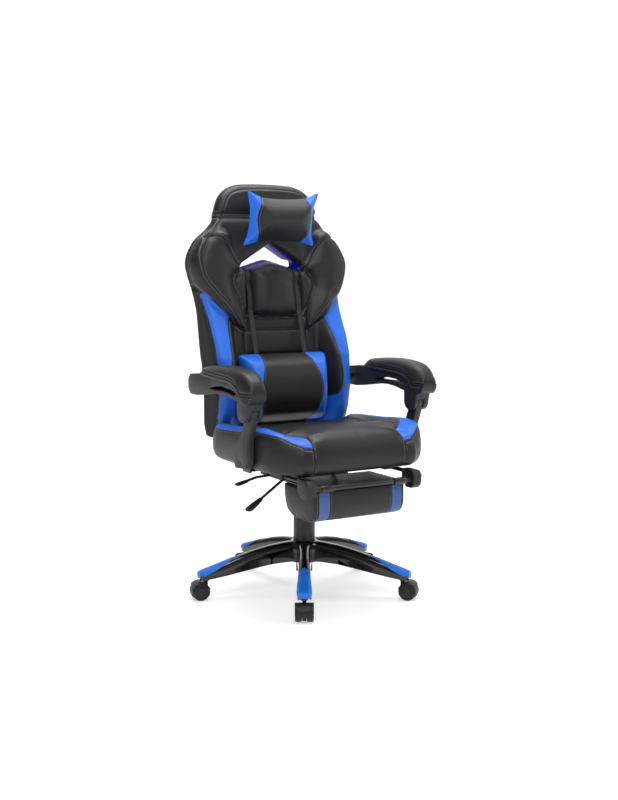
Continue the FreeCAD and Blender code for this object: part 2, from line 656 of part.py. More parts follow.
def make_seat_steel():
    inner = "frame_outer - frame_tube"
    high = "seat_bottom + frame_height"
    tubes = [block((low, top), ("-frame_front", "frame_rear"), ("seat_bottom", high))
             for low, top in (("-frame_outer", "-(%s)" % inner), (inner, "frame_outer"))]
    ends = [block(("-(%s) - 1" % inner, "%s + 1" % inner), bounds, ("seat_bottom", high))
            for bounds in (("-frame_front", "frame_tube - frame_front"),
                           ("frame_rear - frame_tube", "frame_rear"))]
    bars = [block(("-(%s) - 1" % inner, "%s + 1" % inner),
                  ("%s - bar_width / 2" % middle, "%s + bar_width / 2" % middle),
                  ("seat_bottom", "seat_bottom + bar_steel")) for middle in ("-front_bar", "rear_bar")]
    screws = [("%d * screw_half" % sign, middle) for sign in (-1, 1)
              for middle in ("-front_bar", "rear_bar")]
    holes = [rod("z", "screw_radius", "seat_bottom - 1", "bar_steel + 2", spot) for spot in screws]
    saddles = [block(("-recline_side - 8", "8 - recline_side"), (spot, "%s + 12" % spot),
                     ("recline_level - 8", "seat_bottom + 1")) for spot in ("-recline_ahead + 20",
                                                                            "front_bar")]
    ties = [block(("-(%s) - 1" % inner, "8 - recline_side"), (spot, "%s + 12" % spot),
                  ("seat_bottom", "seat_bottom + bar_steel")) for spot in ("-recline_ahead + 20",
                                                                           "front_bar")]
    rod_hole = rod("y", "lever_radius + running_fit", "-200", "400", ("-recline_side", "recline_level"))
    room = ("seat_bottom + frame_wall", "%s - frame_wall" % high)
    hollows = [block(("%s + frame_wall" % low, "%s - frame_wall" % top),
                     ("frame_wall - frame_front", "frame_rear - frame_wall"), room)
               for low, top in (("-frame_outer", "-(%s)" % inner), (inner, "frame_outer"))]
    hollows += [block(("-(%s) - 2" % inner, "%s + 2" % inner), bounds, room)
                for bounds in (("frame_wall - frame_front", "frame_tube - frame_front - frame_wall"),
                               ("frame_rear - frame_tube + frame_wall", "frame_rear - frame_wall"))]
    solid = fuse(cut(fuse(*tubes, *ends), *hollows), *bars, *saddles, *ties)
    finish(cut(solid, *holes, rod_hole), "seat_frame")

    plate = block(("-plate_half", "plate_half"), ("-plate_front", "pan_rear"),
                  ("seat_bottom - plate_steel", "seat_bottom"))
    flanges = [block(("flange_half - 3", "flange_half") if sign > 0 else ("-flange_half",
                                                                          "3 - flange_half"),
                     ("-shaft_ahead - 12", "12 - shaft_ahead"), ("shaft_level - 9", "seat_bottom - 1"))
               for side, sign in sides]
    shaft_hole = rod("x", "shaft_radius + running_fit", "-pan_half", "2 * pan_half",
                     ("-shaft_ahead", "shaft_level"))
    plate_holes = [rod("z", "screw_radius", "seat_bottom - 9", "20", spot) for spot in screws]
    finish(cut(fuse(plate, *flanges), shaft_hole, *plate_holes), "seat_plate")
    finish(group(*[fuse(rod("z", "screw_radius", "seat_bottom - plate_steel - 1",
                            "plate_steel + bar_steel + 1", spot),
                        rod("z", "screw_radius + 2.5", "seat_bottom - plate_steel - 4", "4", spot))
                   for spot in screws]), "seat_screws")

    brackets = []
    for side, sign in sides:
        span = "frame_outer" if sign > 0 else "-frame_outer - bracket_steel"
        plate = prism("YZ_Plane", span, "bracket_steel", bracket_line())
        hinge = ("arm_hinge_back + link_ahead", "arm_hinge_level - link_rise")
        eye = rod("x", "bracket_half + 2", span, "bracket_steel", hinge)
        hole = rod("x", "hinge_pin + running_fit", "%s - 1" % span, "bracket_steel + 2", hinge)
        brackets.append(cut(fuse(plate, eye), hole))
    finish(group(*brackets), "recliner_brackets")


def bracket_line():
    """The recliner bracket's side view, from the seat frame up to the hinge behind the seat."""
    hinge_back = "arm_hinge_back + link_ahead"
    hinge_level = "arm_hinge_level - link_rise"
    return [("frame_rear - 70", "seat_bottom"), ("frame_rear + 14", "seat_bottom"),
            ("%s + bracket_half - 3" % hinge_back, "%s - 10" % hinge_level),
            ("%s - bracket_half + 4" % hinge_back, "%s + 12" % hinge_level),
            ("frame_rear + 12", "seat_bottom + frame_height + 12"),
            ("frame_rear - 70", "seat_bottom + frame_height")]


def make_guides():
    guides = []
    carriers = []
    for side, sign in sides:
        middle = "%d * rail_side" % sign
        span = ("%s - guide_half" % middle, "%s + guide_half" % middle)
        for front, rear in (("guide_front", "guide_mid"), ("guide_back", "guide_rear")):
            body = block(span, ("-" + front, "-" + rear), ("rail_level - 10", "seat_bottom"))
            guides.append(cut(body, rod("y", "rail_radius + running_fit", "-400", "600",
                                        (middle, "rail_level"))))
        lug_inner = "post_middle - post_half - 1.5 - bracket_steel"
        lug_outer = "post_middle - post_half - 1.5"
        bar_start = "frame_outer - frame_tube"
        bar = (bar_start, lug_outer) if sign > 0 else ("-(%s)" % lug_outer, "-(%s)" % bar_start)
        lug = (lug_inner, lug_outer) if sign > 0 else ("-(%s)" % lug_outer, "-(%s)" % lug_inner)
        pin = "post_middle - post_half - 2" if sign > 0 else "-(post_middle + post_half)"
        foot = ("-post_foot_ahead", "post_foot_level")
        carriers.append(fuse(
            block(bar, ("-arm_bar_front", "-arm_bar_rear"), ("seat_bottom - 6", "seat_bottom")),
            block(lug, ("-post_foot_ahead - 16", "-arm_bar_rear"),
                  ("seat_bottom - 6", "post_foot_level + 4")),
            rod("x", "16", lug[0], "bracket_steel", foot),
            rod("x", "link_pin", pin, "2 * post_half + 2", foot)))
    finish(group(*guides), "rail_guides")
    finish(group(*carriers), "post_brackets")


def make_seat_cushion():
    side_view = [("seat_rear", "seat_bottom"), ("seat_rear", "seat_rear_top"),
                 ("-seat_crest_ahead", "seat_crest"), ("nose_round - seat_front", "seat_nose_top"),
                 ("-seat_front", "seat_nose_top - nose_round"), ("-seat_front", "seat_bottom")]
    body = prism("YZ_Plane", "-seat_half", "2 * seat_half", side_view)
    corner = [("corner_start", "-seat_front - 1"), ("seat_half + 1", "-seat_front - 1"),
              ("seat_half + 1", "corner_depth - seat_front"), ("seat_half - 42", "26 - seat_front")]
    pocket(body, outline(body, "XY_Plane", "seat_bottom - 1", corner, mirrored(corner)), "200")
    inner = "frame_outer - frame_tube - soft_gap"
    outer = "frame_outer + bracket_steel + soft_gap"
    level = ("seat_bottom - 1", "seat_bottom + frame_height + soft_gap")
    tools = []
    for low, high in ((inner, "frame_outer + soft_gap"), ("-frame_outer - soft_gap", "-(%s)" % inner)):
        tools.append(block((low, high), ("-frame_front - soft_gap", "frame_rear + soft_gap"), level))
    for front, rear in (("-frame_front - soft_gap", "frame_tube - frame_front + soft_gap"),
                        ("frame_rear - frame_tube - soft_gap", "frame_rear + soft_gap")):
        tools.append(block(("-(%s) - 1" % inner, "%s + 1" % inner), (front, rear), level))
    for middle in ("-front_bar", "rear_bar"):
        tools.append(block(("-(%s) - 1" % inner, "%s + 1" % inner),
                           ("%s - bar_width / 2 - soft_gap" % middle,
                            "%s + bar_width / 2 + soft_gap" % middle),
                           ("seat_bottom - 1", "seat_bottom + bar_steel + soft_gap")))
    for spot in ("-recline_ahead + 20", "front_bar"):
        tools.append(block(("-frame_outer", "-recline_side + 9"), ("%s - 1" % spot, "%s + 13" % spot),
                           ("seat_bottom - 1", "seat_bottom + bar_steel + soft_gap")))
    for low, high in (("frame_outer - 1", outer), ("-(%s)" % outer, "1 - frame_outer")):
        tools.append(block((low, high), ("frame_rear - 72", "seat_rear + 1"),
                           ("seat_bottom - 1", "seat_bottom + frame_height + 14")))
    finish(cut(body, *tools), "seat_cushion")


# ---- footrest -------------------------------------------------------------------------------

def make_footrest():
    rails = [rod("y", "rail_radius", "-cap_back - 24", "cap_back + 24 + rail_rear",
                 ("%d * rail_side" % sign, "rail_level")) for side, sign in sides]
    bar = rod("x", "bar_radius", "-cap_inner", "2 * cap_inner", ("-bar_ahead", "bar_level"))
    finish(group(*rails, bar), "footrest_rails")
    caps = []
    for side, sign in sides:
        start = "cap_inner" if sign > 0 else "-cap_outer"
        side_view = [("-cap_back", "cap_high"), ("-cap_front + 12", "cap_high"),
                     ("-cap_front", "cap_high - 12"),
                     ("-cap_front + 4", "cap_low + 10"), ("-cap_front + 16", "cap_low"),
                     ("-cap_back - 22", "cap_low"), ("-cap_back", "cap_low + 20")]
        body = prism("YZ_Plane", start, "cap_outer - cap_inner", side_view)
        caps.append(cut(body, rod("y", "rail_radius", "-cap_back - 24", "60",
                                  ("%d * rail_side" % sign, "rail_level"))))
    finish(group(*caps), "footrest_caps")

    plate = block(("4 - rest_half", "rest_half - 4"), ("-rest_front", "-rest_rear"),
                  ("rest_top", "rest_top + rest_steel"))
    sleeve_radius = "bar_radius + knuckle_wall"
    starts = ("-sleeve_inner - sleeve_length", "sleeve_inner")
    sleeves = [rod("x", sleeve_radius, start, "sleeve_length", ("-bar_ahead", "bar_level"))
               for start in starts]
    tongues = [block((start, "%s + sleeve_length" % start), ("-bar_ahead", "1 - rest_front"),
                     ("rest_top", "rest_top + rest_steel")) for start in starts]
    bore = rod("x", "bar_radius + running_fit", "-rest_half", "2 * rest_half", ("-bar_ahead", "bar_level"))
    finish(cut(fuse(plate, *sleeves, *tongues), bore), "footrest_plate")

    side_view = [("-rest_front", "rest_top"), ("-rest_front", "rest_bottom + 26"),
                 ("16 - rest_front", "rest_bottom + 4"), ("-rest_front + 70", "rest_bottom"),
                 ("-rest_rear - 60", "rest_bottom + 8"), ("-rest_rear - 20", "rest_bottom + 30"),
                 ("-rest_rear", "rest_bottom + 62"), ("-rest_rear", "rest_top")]
    finish(prism("YZ_Plane", "-rest_half", "2 * rest_half", side_view), "footrest_pad")


# ---- backrest -------------------------------------------------------------------------------

# Longer than the backrest is wide or deep, for prisms that are trimmed to it.
over_width = "(wing_half + 30)"
over_depth = "(rear_head + 110)"


def on_back(level, upper=False):
    """Just ahead of the backrest's front face at a height, below or above its waist."""
    if upper:
        rise = "(%s - waist_level) / (back_top - waist_level)" % level
        return "rib_front + (head_front - rib_front) * %s - rest_gap" % rise
    rise = "(%s - lap_level) / (waist_level - lap_level)" % level
    return "lap_front + (rib_front - lap_front) * %s - rest_gap" % rise


def back_outline():
    right = [("crown_half", "back_top"), ("brow_half", "brow_level"), ("neck_half", "neck_level"),
             ("neck_half + 55", "(neck_level + wing_level) / 2"), ("wing_half", "wing_level + 14"),
             ("wing_half", "wing_level - 14"), ("waist_half", "waist_level"),
             ("lap_half", "bolster_level"), ("lap_half", "back_bottom + 30"), ("bottom_half",
                                                                               "back_bottom")]
    return right + mirrored(right)


def front_line():
    return [("lap_front", "lap_level"), ("rib_front", "waist_level"), ("head_front", "back_top")]


def make_back():
    slab_view = [("lap_front", "back_bottom")] + front_line() + [
        ("rear_head", "back_top"), ("rear_waist", "waist_level"), ("rear_lap", "bolster_level + 15"),
        ("rear_lap", "lap_level"), ("rear_low", "back_bottom")]
    slab = prism("YZ_Plane", "-" + over_width, "2 * " + over_width, slab_view)
    hole = [("hole_half", "hole_corner"), ("hole_half - 7", "hole_shoulder"), ("0", "hole_peak"),
            ("7 - hole_half", "hole_shoulder"), ("-hole_half", "hole_corner"), ("0", "hole_ridge")]
    face = prism("XZ_Plane", "-" + over_depth, over_depth, back_outline())
    body = common(slab, face)
    opening = prism("XZ_Plane", "-" + over_depth, over_depth, hole)
    hinge = ("arm_hinge_back + link_ahead", "arm_hinge_level - link_rise")
    gap = size("soft_gap")
    tools = [opening, feature(hoop_tube(size("hoop_radius") + gap, gap))]
    tools += [feature(strap) for strap in frame_straps(gap)]
    for side, sign in sides:
        low, high = "frame_outer - 3", "frame_outer + 2 * bracket_steel + hinge_gap + 1"
        span = (low, high) if sign > 0 else ("-(%s)" % high, "-(%s)" % low)
        tools.append(block(span, ("lap_front - 20", "%s + 40" % hinge[0]),
                           ("back_bottom - 10", "hoop_foot + 17")))
        tools.append(arm_lug(sign, "soft_gap"))
        tools.append(pin_room(sign))
    finish(cut(body, *tools), "back_cushion")

    for side, sign in sides:
        low = "bolster_inner" if sign > 0 else "-" + over_width
        high_line = "waist_level + 6"
        lobe = [(on_back(high_line), high_line),
                ("(bolster_front + rib_front) / 2 + 31", "waist_level - 65"),
                ("bolster_front + 39", "waist_level - 134"), ("bolster_front + 14", "waist_level - 194"),
                ("bolster_front", "bolster_level"), ("bolster_front + 16", "lap_level + 40"),
                ("bolster_front + 38", "lap_level - 12"), ("lap_front", "back_bottom + 20"),
                ("lap_front", "lap_level")]
        piece = common(prism("YZ_Plane", low, over_width + " - bolster_inner", lobe),
                       prism("XZ_Plane", "-" + over_depth, over_depth, back_outline()))
        finish(cut(piece, pin_room(sign), arm_lug(sign, "soft_gap")), "back_bolster_" + side)


def pin_room(sign):
    """Room in the foam for an armrest's pin."""
    low = "bolster_inner" if sign > 0 else "-" + over_width
    return rod("x", "link_pin + 3", low, over_width + " - bolster_inner",
               ("arm_hinge_back", "arm_hinge_level"))


def hoop_tube(radius, extra):
    """The back frame's bent tube: up one side, over the top and down the other side."""
    levels = [(size("hoop_side"), size("hoop_foot") - extra), (size("hoop_side"), size("hoop_waist")),
              (size("hoop_top_half"), size("hoop_top"))]
    right = [(-half, frame_depth(level), level) for half, level in levels]
    left = [(-x, y, z) for x, y, z in reversed(right)]
    return bent_rod(right + left, radius, size("hoop_bend"))


def frame_straps(room):
    """The two flat straps between the tube's sides, thickened by some room."""
    straps = []
    for level in (size("hoop_foot") + 30, size("hoop_waist") - 20):
        half = size("hoop_side")
        depth = frame_depth(level)
        low = FreeCAD.Vector(-half, depth - size("strap_steel") / 2 - room,
                             level - size("strap_height") / 2 - room)
        straps.append(Part.makeBox(2 * half, size("strap_steel") + 2 * room,
                                   size("strap_height") + 2 * room, low))
    return straps


def frame_depth(level):
    """Where the frame's tubes lie between the front and the rear of the backrest."""
    share = (level - size("lap_level")) / (size("waist_level") - size("lap_level"))
    low = (size("lap_front") + size("rear_lap")) / 2
    return low + share * ((size("rib_front") + size("rear_waist")) / 2 - low)


def arm_lug(sign, room):
    """The lug that carries an armrest's pin on the back frame, thickened by some room."""
    half = "(lug_steel / 2 + %s)" % room
    span = ("%d * hoop_side - %s" % (sign, half), "%d * hoop_side + %s" % (sign, half))
    return block(span, ("arm_hinge_back - 7 - %s" % room, "arm_hinge_back + 50 + %s" % room),
                 ("arm_hinge_level - 8 - %s" % room, "arm_hinge_level + 8 + %s" % room))


def make_back_frame():
    radius = size("hoop_radius")
    hoop = [cut(feature(hoop_tube(radius, 0)), feature(hoop_tube(radius - size("hoop_wall"), 1)))]
    for strap in frame_straps(0):
        hoop.append(cut(feature(strap), feature(hoop_tube(radius - size("hoop_wall") / 2, 1))))
    hinge = ("arm_hinge_back + link_ahead", "arm_hinge_level - link_rise")
    for side, sign in sides:
        inner = "frame_outer + bracket_steel + hinge_gap"
        start = inner if sign > 0 else "-(%s) - bracket_steel" % inner
        plate_line = [("%s - 12" % hinge[0], "%s - 10" % hinge[1]),
                      ("%s + 12" % hinge[0], "%s - 8" % hinge[1]),
                      ("%s + 6" % hinge[0], "hoop_foot + 14"), ("%s - 24" % hinge[0], "hoop_foot + 14")]
        hoop.append(prism("YZ_Plane", start, "bracket_steel", plate_line))
        hoop.append(rod("x", "16", start, "bracket_steel", hinge))
        pin = "frame_outer - 2" if sign > 0 else "-(%s) - bracket_steel" % inner
        hoop.append(rod("x", "hinge_pin", pin, "2 * bracket_steel + hinge_gap + 2", hinge))
        arm = ("arm_hinge_back", "arm_hinge_level")
        reach = "shell_inner + pin_depth - 2 - hoop_side"
        hoop.append(rod("x", "link_pin", "hoop_side" if sign > 0 else "-hoop_side - (%s)" % reach, reach,
                        arm))
        hoop.append(arm_lug(sign, "0"))
    finish(fuse(*hoop), "back_frame")


def make_pillow(label, half, low, high, front, upper):
    """A pillow against the backrest: a side view whose ends are narrowed in plan."""
    middle = "((%s + %s) / 2)" % (low, high)
    rear_low = on_back("(%s + 20)" % low, upper)
    rear_high = on_back("(%s - 24)" % high, upper)
    side_view = [(rear_low, "%s + 20" % low), (rear_high, "%s - 24" % high), ("%s - 42" % rear_high, high),
                 ("%s + 30" % front, "%s - 10" % high), (front, "%s + 20" % middle),
                 ("%s + 8" % front, "%s + 26" % low), ("%s + 40" % front, low), ("%s - 18" % rear_low, low)]
    plan = [("%s - 34" % half, front), (half, "%s + 44" % front), (half, "head_front"),
            ("-(%s)" % half, "head_front"), ("-(%s)" % half, "%s + 44" % front), ("34 - %s" % half, front)]
    body = common(prism("YZ_Plane", "-(%s)" % half, "2 * %s" % half, side_view),
                  prism("XY_Plane", low, "%s - %s" % (high, low), plan))
    finish(body, label)


def make_pillows():
    make_pillow("head_pillow", "head_pillow_half", "head_pillow_low", "head_pillow_high",
                "head_pillow_front", True)
    make_pillow("lumbar_pillow", "lumbar_half", "lumbar_low", "lumbar_high", "lumbar_front", False)
    low, high = "(lumbar_high - 20)", "(hole_corner + 6)"
    line = [(on_back(low), low), ("rib_front - rest_gap", "waist_level"), (on_back(high, True), high),
            ("%s - strap_thick" % on_back(high, True), high), ("rib_front - rest_gap - strap_thick",
                                                               "waist_level"),
            ("%s - strap_thick" % on_back(low), low)]
    straps = [prism("YZ_Plane", "%d * strap_side - strap_width / 2" % sign, "strap_width", line)
              for side, sign in sides]
    finish(group(*straps), "pillow_straps")


# ---- armrests -------------------------------------------------------------------------------

def near_hinge(back, up):
    """A place in side view, measured from an armrest's rear pivot."""
    return ("arm_hinge_back + %g" % back, "arm_hinge_level + %g" % up)


def near_knuckle(back, up):
    """A place in side view, measured from the pivot at the top of an arm post."""
    return ("%g - post_foot_ahead - link_ahead" % back, "post_foot_level + link_rise + %g" % up)


def near_foot(back, up):
    """A place in side view, measured from the pivot at the bottom of an arm post."""
    return ("%g - post_foot_ahead" % back, "post_foot_level + %g" % up)


def rounded_plan(x, y, corner):
    """A rectangle in plan with slanted corners."""
    (left, right), (front, rear) = x, y
    return [("%s + %g" % (left, corner), front), ("%s - %g" % (right, corner), front),
            (right, "%s + %g" % (front, corner)), (right, "%s - %g" % (rear, corner)),
            ("%s - %g" % (right, corner), rear), ("%s + %g" % (left, corner), rear),
            (left, "%s - %g" % (rear, corner)), (left, "%s + %g" % (front, corner))]


def make_arm(side, sign):
    hinge = near_hinge(0, 0)
    knuckle = near_knuckle(0, 0)
    crown = [near_hinge(-42, 35), near_hinge(-107, 33.5), near_knuckle(122, 77.5), near_knuckle(42, 73.5),
             near_knuckle(-4, 57), near_knuckle(-42, 28)]
    belly = [near_knuckle(-34, 17), near_knuckle(-30, 0), knuckle, near_knuckle(30, 0),
             near_knuckle(30, 26),
             near_knuckle(79, 35), near_knuckle(118, 38), near_hinge(-157, -13), near_hinge(-72, -26),
             near_hinge(-33, -30), near_hinge(8, -29)]
    tail = [near_hinge(22, -12), near_hinge(22, 14), near_hinge(8, 30)]
    slot_view = [near_hinge(-118, -2), near_hinge(-159, 6.5), near_knuckle(124, 59.5), near_knuckle(72, 57),
                 near_knuckle(34, 46), near_knuckle(46, 39.5), near_knuckle(79, 45), near_knuckle(118, 48),
                 near_hinge(-157, -3)]
    span = "shell_inner" if sign > 0 else "-shell_outer"
    width = "shell_width"
    body = prism("YZ_Plane", span, width, tail + crown + belly)
    knuckle_disc = rod("x", "post_eye + 3", span, width, knuckle)
    slot = prism("YZ_Plane", "%s - 1" % span, "%s + 2" % width, slot_view)
    fork_half = "post_half + cheek_gap"
    fork_start = "%d * post_middle - (%s)" % (sign, fork_half)
    fork = rod("x", "post_eye + 4", fork_start, "2 * (%s)" % fork_half, knuckle)
    pin = rod("x", "link_pin", "%d * post_middle - post_half - 2" % sign, "2 * post_half + 4", knuckle)
    hole = rod("x", "link_pin + running_fit", "shell_inner - 5" if sign > 0 else "-shell_inner - pin_depth",
               "pin_depth + 5", hinge)
    trimmed = cut(fuse(body, knuckle_disc), slot, fork, hole)
    finish(fuse(trimmed, pin), "arm_shell_" + side)

    cushion_view = [near_hinge(-68, 35), near_hinge(-66, 44), near_hinge(-82, 56), near_hinge(-115, 63),
                    near_knuckle(107, 118), near_knuckle(37, 116), near_knuckle(-19,
                                                                                107), near_knuckle(-54, 83),
                    near_knuckle(-61, 53), near_knuckle(-53, 23), near_knuckle(-43,
                                                                               28.5), near_knuckle(-4.5,
                                                                                                   58),
                    near_knuckle(42, 74), near_knuckle(122, 78), near_hinge(-107, 34)]
    start = "%d * pad_middle - pad_half" % sign
    plan = rounded_plan((start, "%s + 2 * pad_half" % start),
                        (near_knuckle(-61, 0)[0], near_hinge(-66, 0)[0]), 20)
    finish(common(prism("YZ_Plane", start, "2 * pad_half", cushion_view),
                  prism("XY_Plane", "post_foot_level + link_rise", "200", plan)), "arm_pad_" + side)

    post_view = [near_knuckle(-23, -6), near_knuckle(-21, -23), near_knuckle(-14, -43),
                 near_knuckle(-4, -65),
                 near_foot(-44, 64), near_foot(-46, 38), near_foot(-45, 10), near_foot(-31,
                                                                                       -11), near_foot(28,
                                                                                                       -16),
                 near_foot(42, 8), near_foot(34, 38), near_foot(4, 68), near_knuckle(32, -55),
                 near_knuckle(21, -31), near_knuckle(24, -6)]
    start = "%d * post_middle - post_half" % sign
    blade = prism("YZ_Plane", start, "2 * post_half", post_view)
    eye = rod("x", "post_eye", start, "2 * post_half", knuckle)
    eye_hole = rod("x", "link_pin + link_play", "%s - 1" % start, "2 * post_half + 2", knuckle)
    foot_hole = rod("x", "link_pin + running_fit", "%s - 1" % start, "2 * post_half + 2", near_foot(0, 0))
    finish(cut(fuse(blade, eye), eye_hole, foot_hole), "arm_post_" + side)


make_base()
for caster_number in range(leg_total):
    make_caster(caster_number)
make_column()
make_mechanism()
make_levers()
make_seat_steel()
make_guides()
make_seat_cushion()
make_footrest()
make_back()
make_back_frame()
make_pillows()
for arm_side, arm_sign in sides:
    make_arm(arm_side, arm_sign)

doc.recompute()
for item in doc.Objects:
    if "Invalid" in item.State or "Error" in item.State:
        raise RuntimeError("%s (%s) failed: %s" % (item.Name, item.Label, item.State))
for piece in finished:
    if piece.Shape.isNull() or not piece.Shape.isValid():
        raise RuntimeError("bad shape in " + piece.Label)

os.makedirs("parts", exist_ok=True)
for piece in finished:
    piece.Shape.exportStep("parts/%s.step" % piece.Label)
    print("%-24s %2d solids %10.0f mm3" % (piece.Label, len(piece.Shape.Solids), piece.Shape.Volume))
print(len(finished), "nodes")
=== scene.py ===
import math
import json

import bmesh
import bpy
import numpy as np
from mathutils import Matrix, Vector

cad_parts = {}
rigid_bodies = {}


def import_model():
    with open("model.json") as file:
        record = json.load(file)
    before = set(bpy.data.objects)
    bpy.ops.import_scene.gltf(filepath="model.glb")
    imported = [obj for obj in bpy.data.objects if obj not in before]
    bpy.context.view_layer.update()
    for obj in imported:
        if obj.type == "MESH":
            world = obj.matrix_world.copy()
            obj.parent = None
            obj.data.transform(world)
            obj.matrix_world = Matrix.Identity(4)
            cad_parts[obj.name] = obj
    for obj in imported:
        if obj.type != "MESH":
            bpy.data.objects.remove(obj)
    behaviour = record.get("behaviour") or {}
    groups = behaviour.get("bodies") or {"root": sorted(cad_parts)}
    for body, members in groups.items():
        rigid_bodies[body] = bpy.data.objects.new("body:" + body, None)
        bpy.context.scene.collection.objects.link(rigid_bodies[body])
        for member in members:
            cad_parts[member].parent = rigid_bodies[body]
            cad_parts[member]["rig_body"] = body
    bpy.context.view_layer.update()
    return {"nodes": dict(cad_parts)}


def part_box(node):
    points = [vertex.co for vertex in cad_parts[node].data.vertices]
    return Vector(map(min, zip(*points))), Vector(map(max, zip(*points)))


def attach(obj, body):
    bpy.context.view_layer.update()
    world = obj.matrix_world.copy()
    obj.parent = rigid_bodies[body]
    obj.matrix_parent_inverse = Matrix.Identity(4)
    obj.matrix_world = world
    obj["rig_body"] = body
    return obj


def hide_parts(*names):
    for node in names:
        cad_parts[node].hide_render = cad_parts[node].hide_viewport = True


# A gaming chair: metres, Z up, the sitter faces -Y and the sitter's left is +X.
# The numbers in the dictionaries are millimetres unless a note says otherwise.

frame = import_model()
nodes = frame["nodes"]
mm = 0.001
farAway = 9999.0         # millimetres, further than any seam
sameSpot = 0.00002       # metres, for merging doubles

view = {
    "place": (-1.76997, -3.03642, 0.98174),   # metres
    "turn": (83.488, 0, -30.4745),            # degrees
    "lens": 53.35,
}


def makeView():
    cameraData = bpy.data.cameras.new("camera")
    cameraData.lens = view["lens"]
    camera = bpy.data.objects.new("camera", cameraData)
    camera.location = view["place"]
    camera.rotation_euler = [math.radians(angle) for angle in view["turn"]]
    bpy.context.scene.collection.objects.link(camera)
    bpy.context.scene.camera = camera


# metres and watts
studio = {
    "floorHalf": 9.0,
    "backdrop": (1.0, 1.0, 1.0),
    "skyGlow": 0.22,
    "wallGlow": 1.2,
    "wallTowards": (0.507, 0.862, 0.0),
    "wallFade": (0.6, 0.85),
    "floorFade": (1.0, 3.0),
    # name: place, aim, width, height, watts
    "lamps": {
        "keyLight": ((-1.1, -1.8, 2.5), (0, 0, 1.05), 1.2, 1.2, 39),
        "sideLight": ((2.6, -1.2, 2.0), (0, 0, 0.7), 0.8, 1.8, 26),
        "topLight": ((0.2, 0.3, 3.4), (0, 0, 0.5), 2.4, 2.0, 125),
        "lowLight": ((-0.6, -3.4, 0.5), (0, 0, 0.5), 2.4, 0.5, 2),
    },
}


def makeStudio():
    maker = bmesh.new()
    bmesh.ops.create_grid(maker, x_segments=1, y_segments=1, size=studio["floorHalf"])
    floor = newPiece("floor", maker)
    giveMaterial(floor, floorPaint())
    for name, (place, aim, width, height, watts) in studio["lamps"].items():
        lamp = bpy.data.lights.new(name, "AREA")
        lamp.shape = "RECTANGLE"
        lamp.size = width
        lamp.size_y = height
        lamp.energy = watts
        holder = bpy.data.objects.new(name, lamp)
        holder.location = place
        holder.rotation_euler = (Vector(aim) - Vector(place)).to_track_quat("-Z", "Y").to_euler()
        bpy.context.scene.collection.objects.link(holder)
    world = bpy.data.worlds.new("studio")
    world.use_nodes = True
    glow = world.node_tree.nodes["Background"]
    glow.inputs["Color"].default_value = (*studio["backdrop"], 1)
    spot = world.node_tree.nodes.new("ShaderNodeTexCoord")
    facing = world.node_tree.nodes.new("ShaderNodeVectorMath")
    facing.operation = "DOT_PRODUCT"
    facing.inputs[1].default_value = studio["wallTowards"]
    fade = world.node_tree.nodes.new("ShaderNodeMapRange")
    world.node_tree.links.new(spot.outputs["Generated"], facing.inputs[0])
    world.node_tree.links.new(facing.outputs["Value"], fade.inputs["Value"])
    ends = zip(("From Min", "From Max", "To Min", "To Max"),
               (*studio["wallFade"], studio["skyGlow"], studio["wallGlow"]))
    for name, value in ends:
        fade.inputs[name].default_value = value
    world.node_tree.links.new(fade.outputs["Result"], glow.inputs["Strength"])
    bpy.context.scene.world = world
    bpy.context.scene.view_settings.view_transform = "Standard"


class Wire:

    def __init__(self, paint, socket):
        self.paint = paint
        self.socket = socket

    def math(self, operation, *others):
        return self.paint.node("ShaderNodeMath", {"operation": operation}, self, *others)

    def __add__(self, other):
        return self.math("ADD", other)

    __radd__ = __add__

    def __sub__(self, other):
        return self.math("SUBTRACT", other)

    def __rsub__(self, other):
        return self.paint.node("ShaderNodeMath", {"operation": "SUBTRACT"}, other, self)

    def __mul__(self, other):
        return self.math("MULTIPLY", other)

    def __gt__(self, other):
        return self.math("GREATER_THAN", other)

    def __lt__(self, other):
        return self.math("LESS_THAN", other)

    def __abs__(self):
        return self.math("ABSOLUTE")

    def sin(self):
        return self.math("SINE")

    def least(self, other):
        return self.math("MINIMUM", other)


